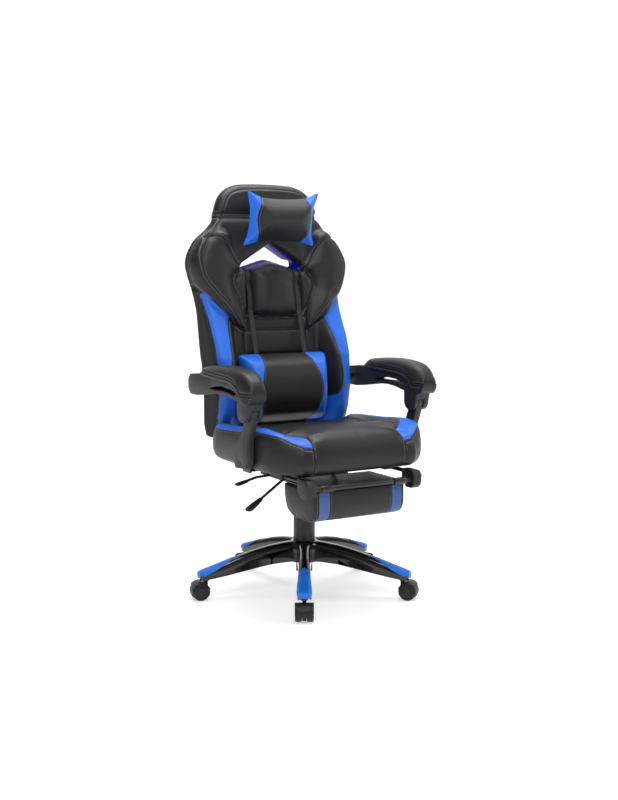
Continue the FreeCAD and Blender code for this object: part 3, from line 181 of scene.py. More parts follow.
class Paint:

    def __init__(self, name):
        self.material = bpy.data.materials.new(name)
        self.material.use_nodes = True
        self.tree = self.material.node_tree
        self.shader = self.tree.nodes["Principled BSDF"]

    def node(self, kind, settings, *values, out=0, **named):
        made = self.tree.nodes.new(kind)
        for key, value in settings.items():
            setattr(made, key, value)
        for key, value in list(enumerate(values)) + list(named.items()):
            self.feed(made.inputs[key], value)
        return Wire(self, made.outputs[out])

    def feed(self, socket, value):
        if isinstance(value, Wire):
            self.tree.links.new(value.socket, socket)
        elif value is not None:
            socket.default_value = value

    def set(self, **values):
        for key, value in values.items():
            self.feed(self.shader.inputs[key.replace("_", " ")], value)
        return self

    def spot(self, scale=(1, 1, 1)):
        place = self.node("ShaderNodeTexCoord", {}, out="Object")
        return self.node("ShaderNodeMapping", {}, place, (0, 0, 0), (0, 0, 0), scale)

    def noise(self, scale, detail=3.0, stretch=(1, 1, 1)):
        return self.node("ShaderNodeTexNoise", {}, self.spot(stretch), Scale=scale, Detail=detail)

    def cells(self, scale):
        return self.node("ShaderNodeTexVoronoi", {"feature": "DISTANCE_TO_EDGE"}, self.spot(), Scale=scale)

    def field(self, name):
        return self.node("ShaderNodeAttribute", {"attribute_name": name}, out="Fac")

    def mix(self, share, first, second):
        made = self.tree.nodes.new("ShaderNodeMix")
        made.data_type = "RGBA"
        self.feed(made.inputs["Factor"], share)
        self.feed(made.inputs["A"], first)
        self.feed(made.inputs["B"], second)
        return Wire(self, made.outputs["Result"])

    def ramp(self, value, low, high):
        made = self.tree.nodes.new("ShaderNodeMapRange")
        made.interpolation_type = "SMOOTHSTEP"
        self.feed(made.inputs["Value"], value)
        made.inputs["From Min"].default_value = low
        made.inputs["From Max"].default_value = high
        return Wire(self, made.outputs["Result"])

    def bump(self, height, depth, strength=1.0):
        return self.node("ShaderNodeBump", {}, Strength=strength, Distance=depth, Height=height)


def tone(red, green, blue):
    return (red, green, blue, 1.0)


finishes = {
    "blueHide": tone(0.008, 0.122, 0.62),
    # a darker, duller blue, used only on the footrest pad
    "dullerBlue": tone(0.04, 0.095, 0.29),
    "liner": tone(0.004, 0.006, 0.3),
    "cloth": tone(0.006, 0.006, 0.0065),
    # stitch thread, made lighter than the real thread so the stitch rows also paint the highlight that the
    # seam edges catch
    "threadAndSeamHighlight": tone(0.15, 0.15, 0.155),
    "glossBlack": tone(0.004, 0.004, 0.0042),
    "mattBlack": tone(0.009, 0.009, 0.0095),
    "charcoal": tone(0.018, 0.0185, 0.0195),
    "coverBlue": tone(0.002, 0.145, 0.62),
    "zinc": tone(0.55, 0.55, 0.57),
    "acetal": tone(0.7, 0.7, 0.67),
    "floor": tone(0.72, 0.72, 0.72),
    "nearGlow": tone(0.5, 0.5, 0.5),
    "farGlow": tone(0.9, 0.9, 0.9),
}


# metres
grain = {
    "seamHalf": 0.0004, "creaseEnd": 0.0022, "edgeHalf": 0.0004,
    "stitchAway": 0.0042, "stitchHalf": 0.0006, "stitchStep": 0.0052,
    "ribStep": 0.0022, "pickStep": 0.0014,
}


def floorPaint():
    paint = Paint("floor")
    speck = paint.noise(40, 2)
    paint.set(Base_Color=finishes["floor"], Roughness=speck * 0.1 + 0.6)
    reach = paint.node("ShaderNodeVectorMath", {"operation": "LENGTH"}, paint.spot(), out="Value")
    glow = paint.mix(paint.ramp(reach, *studio["floorFade"]), finishes["nearGlow"], finishes["farGlow"])
    paint.set(Emission_Color=glow, Emission_Strength=1.0)
    return paint.material


def hide(name, blue="blueHide", lined=False):
    paint = Paint(name)
    edge = grain["edgeHalf"]
    inBlue = paint.ramp(paint.field("blueDepth"), -edge, edge)
    offSeam = paint.field("seamDepth")
    along = paint.field("seamRun")
    cloud = paint.noise(9, 4)
    fine = paint.noise(60, 4)
    black = paint.mix(cloud, tone(0.007, 0.007, 0.0078), tone(0.011, 0.011, 0.012))
    deep = tone(*[each * 0.8 for each in finishes[blue][:3]])
    light = tone(*[min(each * 1.15, 1) for each in finishes[blue][:3]])
    panel = paint.mix(inBlue, black, paint.mix(cloud, deep, light))
    matt = 0.0
    if lined:
        matt = paint.ramp(paint.field("liningDepth"), -edge, edge)
        throat = paint.ramp(paint.field("throat"), -edge, edge)
        panel = paint.mix(throat, paint.mix(matt, panel, finishes["cloth"]), finishes["liner"])
    # painted shade: the panel colour is darkened towards near-black along every seam, standing in for the
    # shadow that falls in the seam grooves
    crease = 1 - paint.ramp(offSeam, grain["seamHalf"], grain["creaseEnd"])
    creaseShaded = paint.mix(crease * 0.75, panel, tone(0.002, 0.002, 0.003))
    rowGap = abs(offSeam - grain["stitchAway"])
    dash = (along * (math.tau / grain["stitchStep"])).sin() > -0.35
    stitch = dash * (rowGap < grain["stitchHalf"])
    # partly painted highlight: the stitch dashes get the light thread colour, which also stands in for the
    # highlight on the seam edges
    paint.set(Base_Color=paint.mix(stitch * 0.8, creaseShaded, finishes["threadAndSeamHighlight"]))
    pebbles = (paint.cells(900) * 6).least(1.0)
    pores = paint.noise(2600, 2)
    paint.set(Roughness=0.36 + cloud * 0.1 + fine * 0.06 + stitch * 0.25 + crease * 0.3 + matt * 0.3)
    height = pebbles * 0.6 + pores * 0.25 + stitch * 2.2
    paint.set(Normal=paint.bump(height, 0.00022, 0.55), Specular_IOR_Level=0.36)
    return paint.material


def webbingPaint(name):
    paint = Paint(name)
    place = paint.node("ShaderNodeSeparateXYZ", {}, paint.node("ShaderNodeTexCoord", {}, out="Object"))
    across = Wire(paint, place.socket.node.outputs[0])
    high = Wire(paint, place.socket.node.outputs[2])
    ribs = (across * (math.tau / grain["ribStep"])).sin()
    picks = (high * (math.tau / grain["pickStep"])).sin()
    paint.set(Base_Color=paint.mix(paint.noise(30, 3), tone(0.012, 0.012, 0.013), tone(0.02, 0.02, 0.021)))
    paint.set(Roughness=0.7 + picks * 0.08, Normal=paint.bump(ribs + picks * 0.4, 0.0003, 0.8))
    return paint.material


def moulding(name, colour, rough, coat=0.0):
    paint = Paint(name)
    cloud = paint.noise(7, 3)
    base = finishes[colour]
    paint.set(Base_Color=paint.mix(cloud, base, tone(*[each * 1.25 for each in base[:3]])))
    paint.set(Roughness=rough + cloud * 0.08 + paint.noise(160, 3) * 0.04)
    paint.set(Normal=paint.bump(paint.noise(1400, 2), 0.00008, 0.6), Coat_Weight=coat, Coat_Roughness=0.04)
    paint.set(Specular_IOR_Level=0.35)
    return paint.material


def metal(name, colour, rough, metallic=1.0):
    paint = Paint(name)
    brushed = paint.noise(300, 3, (1, 1, 0.05))
    cloud = paint.noise(11, 3)
    base = finishes[colour]
    paint.set(Base_Color=paint.mix(cloud, base, tone(*[each * 0.8 for each in base[:3]])), Metallic=metallic)
    paint.set(Roughness=rough + brushed * 0.12, Normal=paint.bump(brushed, 0.00005, 0.4))
    return paint.material


def newPiece(name, maker):
    mesh = bpy.data.meshes.new(name)
    maker.to_mesh(mesh)
    maker.free()
    piece = bpy.data.objects.new(name, mesh)
    bpy.context.scene.collection.objects.link(piece)
    return piece


def giveMaterial(piece, *materials):
    piece.data.materials.clear()
    for material in materials:
        piece.data.materials.append(material)


def smoothed(piece, angle=None):
    for face in piece.data.polygons:
        face.use_smooth = True
    if angle is not None:
        piece.data.set_sharp_from_angle(angle=math.radians(angle))


def applyAll(piece):
    graph = bpy.context.evaluated_depsgraph_get()
    mesh = bpy.data.meshes.new_from_object(piece.evaluated_get(graph))
    old = piece.data
    piece.modifiers.clear()
    piece.data = mesh
    bpy.data.meshes.remove(old)
    mesh.name = piece.name
    return piece


def places(piece):
    flat = np.empty(len(piece.data.vertices) * 3, np.float32)
    piece.data.vertices.foreach_get("co", flat)
    return flat.reshape(-1, 3).astype(float)


def setPlaces(piece, spots):
    piece.data.vertices.foreach_set("co", spots.astype(np.float32).ravel())
    piece.data.update()


def directions(piece):
    flat = np.empty(len(piece.data.vertices) * 3, np.float32)
    piece.data.vertex_normals.foreach_get("vector", flat)
    return flat.reshape(-1, 3).astype(float)


def setField(piece, name, values):
    layer = piece.data.attributes.new(name, "FLOAT", "POINT")
    layer.data.foreach_set("value", values.astype(np.float32))


def curve(points, steps=8, closed=False):
    spots = np.array(points, float)
    count = len(spots)
    line = []
    for index in range(count if closed else count - 1):
        around = [(index + offset) % count if closed else min(max(index + offset, 0), count - 1)
                  for offset in (-1, 0, 1, 2)]
        before, start, end, after = spots[around]
        for share in np.arange(steps) / steps:
            line.append(0.5 * (2 * start + (end - before) * share
                               + (2 * before - 5 * start + 4 * end - after) * share ** 2
                               + (3 * start - before - 3 * end + after) * share ** 3))
    if not closed:
        line.append(spots[-1])
    return np.array(line)


def lineGap(spots, line, closed=False):
    ends = np.vstack([line, line[:1]]) if closed else line
    best = np.full(len(spots), farAway)
    run = np.zeros(len(spots))
    travelled = 0.0
    for start, end in zip(ends[:-1], ends[1:]):
        span = end - start
        length = math.hypot(*span)
        if length == 0:
            continue
        share = np.clip(((spots - start) @ span) / length ** 2, 0, 1)
        gap = np.hypot(*(spots - start - share[:, None] * span).T)
        nearer = gap < best
        best[nearer] = gap[nearer]
        run[nearer] = travelled + share[nearer] * length
        travelled += length
    return best, run


def inside(spots, loop):
    odd = np.zeros(len(spots), bool)
    for start, end in zip(loop, np.roll(loop, -1, 0)):
        if start[1] == end[1]:
            continue
        crosses = (spots[:, 1] > start[1]) != (spots[:, 1] > end[1])
        reach = start[0] + (spots[:, 1] - start[1]) * (end[0] - start[0]) / (end[1] - start[1])
        odd ^= crosses & (spots[:, 0] < reach)
    return odd


def depthIn(spots, loop):
    gap = lineGap(spots, loop, True)[0]
    return np.where(inside(spots, loop), gap, -gap)


def swell(depth, width):
    share = np.clip(depth / width, 0, 1)
    return np.sqrt(1 - (1 - share) ** 2)


def ease(value, low, high):
    share = np.clip((value - low) / (high - low), 0, 1)
    return share * share * (3 - 2 * share)


def slab(name, loop, low, high, axis="Y"):
    number = "XYZ".index(axis)
    step = [0, 0, 0]
    step[number] = high - low
    maker = bmesh.new()
    face = maker.faces.new([maker.verts.new(np.insert(spot, number, low)) for spot in loop])
    moved = bmesh.ops.extrude_face_region(maker, geom=[face], use_keep_orig=True)["geom"]
    top = [each for each in moved if isinstance(each, bmesh.types.BMVert)]
    bmesh.ops.translate(maker, vec=step, verts=top)
    bmesh.ops.recalc_face_normals(maker, faces=maker.faces)
    return newPiece(name, maker)


def remeshed(piece, voxel):
    maker = piece.modifiers.new("remesh", "REMESH")
    maker.mode = "VOXEL"
    maker.voxel_size = voxel * mm
    maker.use_smooth_shade = True
    return applyAll(piece)


def inflate(piece, held, pressure, most, stiffness=0.4):
    frames = 20
    start = places(piece)
    group = piece.vertex_groups.new(name="held")
    for share in (0.25, 0.5, 0.75, 1.0):
        chosen = np.nonzero((held > share - 0.25) & (held <= share))[0]
        group.add([int(each) for each in chosen], share, "REPLACE")
    sim = piece.modifiers.new("cloth", "CLOTH")
    sim.settings.quality = 4
    sim.settings.mass = 0.35
    sim.settings.tension_stiffness = 12
    sim.settings.compression_stiffness = 12
    sim.settings.shear_stiffness = 6
    sim.settings.bending_stiffness = stiffness
    sim.settings.use_pressure = True
    sim.settings.uniform_pressure_force = pressure
    sim.settings.vertex_group_mass = "held"
    sim.settings.effector_weights.gravity = 0
    sim.collision_settings.use_collision = False
    sim.point_cache.frame_start = 1
    sim.point_cache.frame_end = frames
    for frameNumber in range(1, frames + 1):
        bpy.context.scene.frame_set(frameNumber)
    applyAll(piece)
    bpy.context.scene.frame_set(1)
    moved = places(piece) - start
    length = np.linalg.norm(moved, axis=1)
    share = np.minimum(1, most * mm / np.maximum(length, 1e-9))
    setPlaces(piece, start + moved * share[:, None])


def subdivided(piece):
    maker = piece.modifiers.new("finer", "SUBSURF")
    maker.levels = maker.render_levels = 1
    applyAll(piece)
    smoothed(piece)


def seamGap(flat, seams):
    return np.min([lineGap(flat, line)[0] for line in seams], axis=0)


def sewn(piece, flat, seams, pick, depth, width):
    best = np.full(len(flat), farAway)
    run = np.zeros(len(flat))
    for line in seams:
        gap, along = lineGap(flat, line)
        nearer = gap < best
        best[nearer] = gap[nearer]
        run[nearer] = along[nearer]
    best = np.where(pick, best, farAway)
    sink = depth * mm * np.exp(-(best / width) ** 2)
    setPlaces(piece, places(piece) - directions(piece) * sink[:, None])
    setField(piece, "seamDepth", best * mm)
    setField(piece, "seamRun", run * mm)


def addSeam(piece, where, gap):
    layer = piece.data.attributes["seamDepth"].data
    values = np.empty(len(gap), np.float32)
    layer.foreach_get("value", values)
    layer.foreach_set("value", np.where(where, np.minimum(values, gap * mm), values).astype(np.float32))


def mirrorLoop(half):
    return [*half, *[(-x, z) for x, z in reversed(half)]]


def bothSides(line):
    return [np.array(line, float), np.array([(-x, z) for x, z in line], float)]


def acrossLine(half, level):
    return np.array([(-half, level), (half, level)], float)


back = {
    "outline": [(62, 1228), (116, 1220), (156, 1194), (177, 1154), (184, 1121), (203, 1090), (238, 1052),
                (262, 1012), (268, 980), (262, 944), (249, 899), (240, 846), (237, 760), (234, 690),
                (230, 610), (230, 515), (229, 478), (218, 461), (110, 456)],
    "hole": [(0, 1040), (98, 984), (105, 962), (0, 990)],
    "frontLevels": [458, 500, 897, 1222],
    "front": [152, 152, 196, 232],
    "rearLevels": [458, 500, 625, 897, 1222],
    "rear": [204, 222, 224, 257, 288],
    "bolsterLevels": [458, 476, 496, 540, 610, 703, 763, 832, 900, 1222],
    "bolsterFront": [150, 138, 116, 96, 82, 96, 121, 160, 196, 232],
    "bolsterRise": (138, 192),
    "edgeRound": 26,
    "rearRound": 10,
    "slabFront": 150,
    "slabRear": 210,
    "voxel": 6.5,
    "wing": [(150, 1078), (190, 1090), (244, 1068), (270, 1012), (276, 980), (268, 938), (247, 896),
             (207, 866), (178, 830), (148, 803), (113, 781), (107, 815), (113, 852), (125, 885),
             (138, 912), (141, 938), (131, 957), (108, 972), (122, 1000), (140, 1036)],
    "wingSeam": [(163, 1124), (188, 1094), (222, 1062), (246, 1020), (250, 984), (238, 942), (206, 903),
                 (172, 864), (138, 822), (113, 783)],
    "wingTop": [(222, 1064), (192, 1068), (164, 1050), (142, 1022), (124, 990), (108, 968)],
    "wingInner": [(105, 964), (130, 956), (141, 936), (137, 912), (125, 885), (113, 850), (107, 815),
                  (113, 783)],
    "wingFoot": [(262, 925), (243, 897), (207, 866), (178, 830), (148, 803), (113, 781)],
    "headPad": [(62, 1260), (200, 1250), (240, 1200), (240, 1136), (0, 1140)],
    "headSeam": [(0, 1214), (70, 1212), (118, 1203), (143, 1182), (156, 1150), (161, 1124)],
    "neckPad": [(60, 1124), (230, 1122), (250, 1092), (230, 1072), (176, 1060), (146, 1030), (124, 994),
                (106, 972), (60, 1008), (0, 1042)],
    "chestPad": [(0, 988), (50, 977), (76, 968), (77, 935), (79, 895), (80, 860), (74, 832), (40, 824),
                 (0, 822)],
    "chestLobe": [(93, 966), (118, 958), (138, 938), (136, 912), (122, 880), (106, 850), (95, 840),
                  (94, 900)],
    "chestSeam": [(84, 966), (86, 900), (86, 840)],
    "neckBand": (1137, 1125),
    "bandHalf": 190,
    "channels": (822, 781, 706, 631, 556),
    "channelHalf": 107,
    "channelRise": (9, 22),
    "channelSide": (832, 500),
    "leaf": [(112, 782), (150, 806), (167, 822), (172, 803), (181, 754), (191, 694), (195, 645), (190, 604),
             (178, 580), (160, 572), (138, 580), (122, 610), (109, 660), (108, 706)],
    "blue": [(238, 899), (207, 866), (167, 822), (172, 803), (181, 754), (191, 694), (195, 645), (190, 604),
             (178, 580), (160, 572), (138, 580), (100, 560), (90, 440), (300, 440), (300, 872)],
    "sideLevels": [458, 500, 560, 610, 703, 763, 832, 897, 935, 1000, 1222],
    "sideSeam": [150, 128, 112, 106, 114, 132, 160, 202, 230, 244, 262],
    "lining": 55, "liningEase": (8, 26), "liningBack": 8,
    # share of the width that is lost towards the rear, and between which levels
    "headTaper": 0.08, "headTaperAt": (1050, 1120),
    "holeTaper": 0.1, "holeReach": 26, "holeLift": 11, "holeLiftFrom": (985, 1000), "throatHalf": 7,
    # pad: how far it stands out, and how wide its slope is
    "pads": {"wing": (42, 54), "headPad": (12, 26), "neckPad": (15, 24), "chestLobe": (24, 20),
             "leaf": (9, 24), "chestPad": (44, 62)},
    "middlePads": ("headPad", "neckPad", "chestPad"),
    "trench": (9, 7),
}


def backFront(x, z):
    level = np.interp(z, back["frontLevels"], back["front"])
    bolster = np.interp(z, back["bolsterLevels"], back["bolsterFront"])
    return level - (level - bolster) * ease(np.abs(x), *back["bolsterRise"])


def backPads(spots):
    folded = np.column_stack([np.abs(spots[:, 0]), spots[:, 1]])
    rise = np.zeros(len(spots))
    for name, (height, width) in back["pads"].items():
        if name in back["middlePads"]:
            depth = depthIn(spots, np.array(mirrorLoop(back[name]), float))
        else:
            depth = depthIn(folded, curve(back[name], 5, True))
        rise += height * swell(depth, width)
    height, width = back["trench"]
    rise += height * np.exp(-(lineGap(folded, curve(back["wingInner"], 5))[0] / width) ** 2)
    height, width = back["channelRise"]
    for high, low in zip(back["channels"], back["channels"][1:]):
        half = back["channelHalf"]
        box = np.array([(half, high), (half, low), (-half, low), (-half, high)], float)
        rise += height * swell(depthIn(spots, box), width)
    return rise


def backSeams():
    seams = []
    for name, steps in (("wingSeam", 6), ("wingTop", 6), ("headSeam", 6), ("wingInner", 5), ("wingFoot", 5)):
        seams += bothSides(curve(back[name], steps))
    seams += bothSides(curve(back["leaf"], 5, True))
    seams += [acrossLine(back["bandHalf"], level) for level in back["neckBand"]]
    seams += [acrossLine(back["channelHalf"], level) for level in back["channels"]]
    seams += bothSides([(back["channelHalf"], level) for level in back["channelSide"]])
    seams += bothSides(curve(back["chestSeam"], 5))
    return seams


def makeBack():
    outline = curve(mirrorLoop(back["outline"]), 5, True)
    cover = slab("back_cover", outline * mm, back["slabFront"] * mm, back["slabRear"] * mm)
    hole = np.array(mirrorLoop(back["hole"]), float)
    tool = slab("hole_tool", hole * mm, 0.0, 0.4)
    trim = cover.modifiers.new("hole", "BOOLEAN")
    trim.operation = "DIFFERENCE"
    trim.solver = "EXACT"
    trim.object = tool
    applyAll(cover)
    bpy.data.objects.remove(tool)
    remeshed(cover, back["voxel"])
    spots = places(cover) / mm
    flat = spots[:, [0, 2]]
    through = np.clip((spots[:, 1] - back["slabFront"]) / (back["slabRear"] - back["slabFront"]), 0, 1)
    holeDepth = depthIn(flat, hole)
    border = np.maximum(np.minimum(depthIn(flat, outline), -holeDepth * 1.6), 0)
    front = backFront(flat[:, 0], flat[:, 1]) - backPads(flat)
    front = front + back["edgeRound"] * (1 - swell(border, back["edgeRound"]))
    rear = np.interp(flat[:, 1], back["rearLevels"], back["rear"])
    rear = rear - back["rearRound"] * (1 - swell(border, back["rearRound"]))
    spots[:, 1] = front + through * (rear - front)
    spots[:, 0] *= 1 - back["headTaper"] * through * ease(flat[:, 1], *back["headTaperAt"])
    near = through * np.clip(1 + holeDepth / back["holeReach"], 0, 1) * (holeDepth < 4)
    spots[:, 0] *= 1 - back["holeTaper"] * near
    spots[:, 2] += back["holeLift"] * near * (1 - ease(flat[:, 1], *back["holeLiftFrom"]))
    setPlaces(cover, spots * mm)
    held = np.clip(1.2 - seamGap(flat, backSeams()) / 12, 0, 1)
    held = np.maximum(held, ease(through, 0.15, 0.5))
    inflate(cover, held, 5.0, 9)
    subdivided(cover)
    spots = places(cover) / mm
    flat = spots[:, [0, 2]]
    sewn(cover, flat, backSeams(), directions(cover)[:, 1] < 0.25, 3.4, 3.4)
    folded = np.column_stack([np.abs(flat[:, 0]), flat[:, 1]])
    wall = np.interp(flat[:, 1], back["sideLevels"], back["sideSeam"])
    wall = wall + back["lining"] * ease(depthIn(flat, outline), *back["liningEase"])
    wall = np.maximum(wall, backFront(flat[:, 0], flat[:, 1]) + back["edgeRound"] * 0.55)
    rear = np.interp(flat[:, 1], back["rearLevels"], back["rear"])
    lining = spots[:, 1] - np.minimum(wall, rear - back["liningBack"])
    blue = np.minimum(depthIn(folded, np.array(back["blue"], float)), -lining)
    front = np.interp(flat[:, 1], back["frontLevels"], back["front"])
    throat = (np.abs(depthIn(flat, hole)) < back["throatHalf"]) & (spots[:, 1] > front + 4)
    setField(cover, "blueDepth", blue * mm)
    setField(cover, "liningDepth", lining * mm)
    setField(cover, "throat", np.where(throat, 0.001, -0.001))
    addSeam(cover, (flat[:, 1] < 935) & (folded[:, 0] > 200), np.abs(lining))
    giveMaterial(cover, paints["backHide"])
    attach(cover, "backrest")
    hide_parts("back_cushion", "back_bolster_right", "back_bolster_left")


headPillow = {
    "outline": [(0, 1174), (60, 1180), (118, 1199), (121, 1192), (110, 1150), (108, 1110), (112, 1070),
                (121, 1046), (117, 1039), (60, 1052), (0, 1056)],
    "lowPlane": (1040, 152), "highPlane": (1198, 122),
    "frontDepth": 52, "rearDepth": 52, "barrel": 0.85, "soft": 1.7,
    "blueEdge": [(60, 1205), (79, 1175), (92, 1125), (85, 1075), (66, 1035)],
    "corner": 78, "voxel": 5,
}

lumbarPillow = {
    "outline": [(0, 713), (80, 712), (130, 712), (149, 708), (147, 690), (142, 640), (142, 580), (145, 530),
                (145, 508), (128, 504), (70, 503), (0, 503)],
    "lowPlane": (508, 132), "highPlane": (714, 136),
    "frontDepth": 74, "rearDepth": 30, "barrel": 0.96, "soft": 1.0,
    "blueEdge": [(76, 730), (83, 700), (106, 612), (92, 530), (78, 500)],
    "corner": 34, "voxel": 6,
}


def makePillow(name, values, node):
    outline = curve(mirrorLoop(values["outline"][1:-1]), 5, True)
    (lowLevel, lowPlace), (highLevel, highPlace) = values["lowPlane"], values["highPlane"]
    half = 14
    pillow = slab(name, outline * mm, -half * mm, half * mm)
    remeshed(pillow, values["voxel"])
    spots = places(pillow) / mm
    flat = spots[:, [0, 2]]
    depth = np.maximum(depthIn(flat, outline), 0)
    level = (flat[:, 1] - lowLevel) / (highLevel - lowLevel) * 2 - 1
    barrel = np.sqrt(np.clip(1 - values["barrel"] * level ** 2, 0, 1))
    crown = swell(depth, values["corner"]) ** values["soft"] * barrel
    middlePlane = np.interp(flat[:, 1], [lowLevel, highLevel], [lowPlace, highPlace])
    thick = np.where(spots[:, 1] < 0, -values["frontDepth"], values["rearDepth"])
    share = np.clip(np.abs(spots[:, 1]) / half, 0, 1)
    wall = np.interp(flat[:, 1], back["frontLevels"], back["front"]) - 3
    spots[:, 1] = np.minimum(middlePlane + share * thick * crown, wall)
    setPlaces(pillow, spots * mm)
    held = np.where(spots[:, 1] > wall - 1, 1.0, np.clip(1 - depth / 8, 0, 0.9))
    inflate(pillow, held, 4.0, 7, stiffness=0.15)
    subdivided(pillow)
    spots = places(pillow) / mm
    flat = spots[:, [0, 2]]
    line = curve(values["blueEdge"], 6)
    reach = np.interp(flat[:, 1], line[::-1, 1], line[::-1, 0])
    sewn(pillow, flat, bothSides(line), True, 1.8, 2.8)
    setField(pillow, "blueDepth", (np.abs(flat[:, 0]) - reach) * mm)
    giveMaterial(pillow, paints["plainHide"])
    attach(pillow, "backrest")
    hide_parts(node)


straps = {
    "side": 85, "width": 15, "thick": 1.4, "gap": 1.5, "steps": 26,
    # depth and level
    "top": (214, 968), "foot": (140, 708),
}


def makeStraps():
    (topPlace, topLevel), (footPlace, footLevel) = straps["top"], straps["foot"]
    for side, sign in (("right", -1), ("left", 1)):
        maker = bmesh.new()
        rows = []
        for share in np.linspace(0, 1, straps["steps"]):
            level = topLevel + (footLevel - topLevel) * share
            across = np.linspace(-0.5, 0.5, 5) * straps["width"] + straps["side"]
            spots = np.column_stack([across, np.full(5, level)])
            face = (backFront(spots[:, 0], spots[:, 1]) - backPads(spots)).min() - straps["gap"]
            place = min(face, topPlace + (footPlace - topPlace) * share)
            if share == 0:
                place = topPlace
            rows.append([maker.verts.new((sign * x * mm, place * mm, level * mm)) for x in across])
        for first, second in zip(rows, rows[1:]):
            for index in range(4):
                maker.faces.new([first[index], first[index + 1], second[index + 1], second[index]])
        bmesh.ops.recalc_face_normals(maker, faces=maker.faces)
        band = newPiece("pillow_strap_" + side, maker)
        wall = band.modifiers.new("thickness", "SOLIDIFY")
        wall.thickness = straps["thick"] * mm
        wall.offset = 0
        finer = band.modifiers.new("finer", "SUBSURF")
        finer.levels = finer.render_levels = 1
        applyAll(band)
        smoothed(band, 50)
        giveMaterial(band, paints["webbing"])
        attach(band, "backrest")
        if sign < 0:
            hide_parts("pillow_straps")


seat = {
    "outline": [(150, -314), (190, -300), (226, -272), (250, -234), (256, -180), (256, -60), (255, 40),
                (250, 92), (232, 108), (120, 109)],
    "low": 411,
    "levelsAt": [-314, -298, -270, -180, -60, 108],
    "levels": [484, 498, 509, 516, 506, 499],
    "rim": 17, "rimRise": (176, 234), "rimFade": (-330, -230),
    "edgeRound": 17, "footRound": 14, "waist": 5,
    "tonguePad": (15, 70), "rearPad": (5, 40),
    "voxel": 6.5,
    "slabTop": 500,
    "tongue": [(0, -98), (75, -110), (146, -154), (188, -218), (154, -256), (150, -290), (151, -330),
               (0, -330)],
    "rearPanel": [(0, 72), (70, 60), (130, 12), (190, -62), (228, -132), (188, -218), (146, -154),
                  (75, -110), (0, -98)],
    "rearArc": [(0, 74), (60, 62), (120, 14), (180, -56), (234, -124)],
    "frontArc": [(0, -98), (75, -110), (146, -154), (188, -218)],
    "tongueSide": [(188, -218), (154, -256), (150, -290), (151, -330)],
    "blueInner": [(234, 112), (232, 40), (231, -40), (231, -110), (228, -165), (188, -218), (154, -256),
                  (150, -290), (151, -330)],
    "blueOuter": [(151, -420), (420, -420), (420, 112)],
    "dropsAt": (-300, -180, 0),
    "drops": (4, 10, 14),
}


def seatTop(x, y):
    level = np.interp(y, seat["levelsAt"], seat["levels"])
    return level + seat["rim"] * ease(np.abs(x), *seat["rimRise"]) * ease(y, *seat["rimFade"])


def seatSeams():
    return [line for name in ("rearArc", "frontArc", "tongueSide", "blueInner")
            for line in bothSides(curve(seat[name], 6))]


def makeSeat():
    low = seat["low"]
    outline = curve(mirrorLoop(seat["outline"]), 5, True)
    cover = slab("seat_cover", outline * mm, low * mm, seat["slabTop"] * mm, "Z")
    remeshed(cover, seat["voxel"])
    spots = places(cover) / mm
    flat = spots[:, [0, 1]]
    up = np.clip((spots[:, 2] - low) / (seat["slabTop"] - low), 0, 1)
    border = np.maximum(depthIn(flat, outline), 0)
    top = seatTop(flat[:, 0], flat[:, 1])
    for panel, pad in (("tongue", "tonguePad"), ("rearPanel", "rearPad")):
        height, width = seat[pad]
        top += height * swell(depthIn(flat, np.array(mirrorLoop(seat[panel]), float)), width)
    top -= seat["edgeRound"] * (1 - swell(border, seat["edgeRound"]))
    spots[:, 2] = low + up * (top - low)
    tuck = seat["footRound"] * (1 - swell(spots[:, 2] - low, 30)) * (border < 20)
    waist = seat["waist"] * np.sin(up * math.pi) * np.clip(1 - border / 30, 0, 1)
    shrink = 1 - (tuck - waist) / 260
    spots[:, 0] *= shrink
    spots[:, 1] = -100 + (spots[:, 1] + 100) * shrink
    setPlaces(cover, spots * mm)
    held = np.where(spots[:, 2] > 470, np.clip(1.2 - seamGap(spots[:, [0, 1]], seatSeams()) / 12, 0, 1), 0)
    held = np.maximum(held, ease(-up, -0.35, -0.1))
    inflate(cover, held, 4.0, 8)
    subdivided(cover)
    spots = places(cover) / mm
    flat = spots[:, [0, 1]]
    stitched = (directions(cover)[:, 2] > 0.2) | (spots[:, 1] < -292)
    sewn(cover, flat, seatSeams(), stitched, 3, 3.6)
    folded = np.column_stack([np.abs(flat[:, 0]), flat[:, 1]])
    inner = depthIn(folded, np.array([*seat["blueInner"], *seat["blueOuter"]], float))
    border = np.maximum(depthIn(flat, outline), 0)
    rim = seatTop(flat[:, 0], flat[:, 1]) - np.interp(flat[:, 1], seat["dropsAt"], seat["drops"])
    setField(cover, "blueDepth", np.minimum(inner, spots[:, 2] - rim) * mm)
    addSeam(cover, (inner > 0) & (border < 40), np.abs(spots[:, 2] - rim))
    setField(cover, "liningDepth", (low + 2 - spots[:, 2]) * mm)
    setField(cover, "throat", np.full(len(flat), -0.001))
    giveMaterial(cover, paints["backHide"])
    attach(cover, "seat")
    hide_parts("seat_cushion")


restPad = {
    "section": [(-316, 368), (-318, 330), (-315, 302), (-300, 284), (-268, 275), (-220, 274), (-172, 280),
                (-144, 300), (-134, 332), (-134, 368)],
    "half": 149, "endRound": 16, "endShrink": 0.12, "middle": (-225, 345), "top": 370.5,
    "blueBands": (102, 137), "voxel": 5,
}


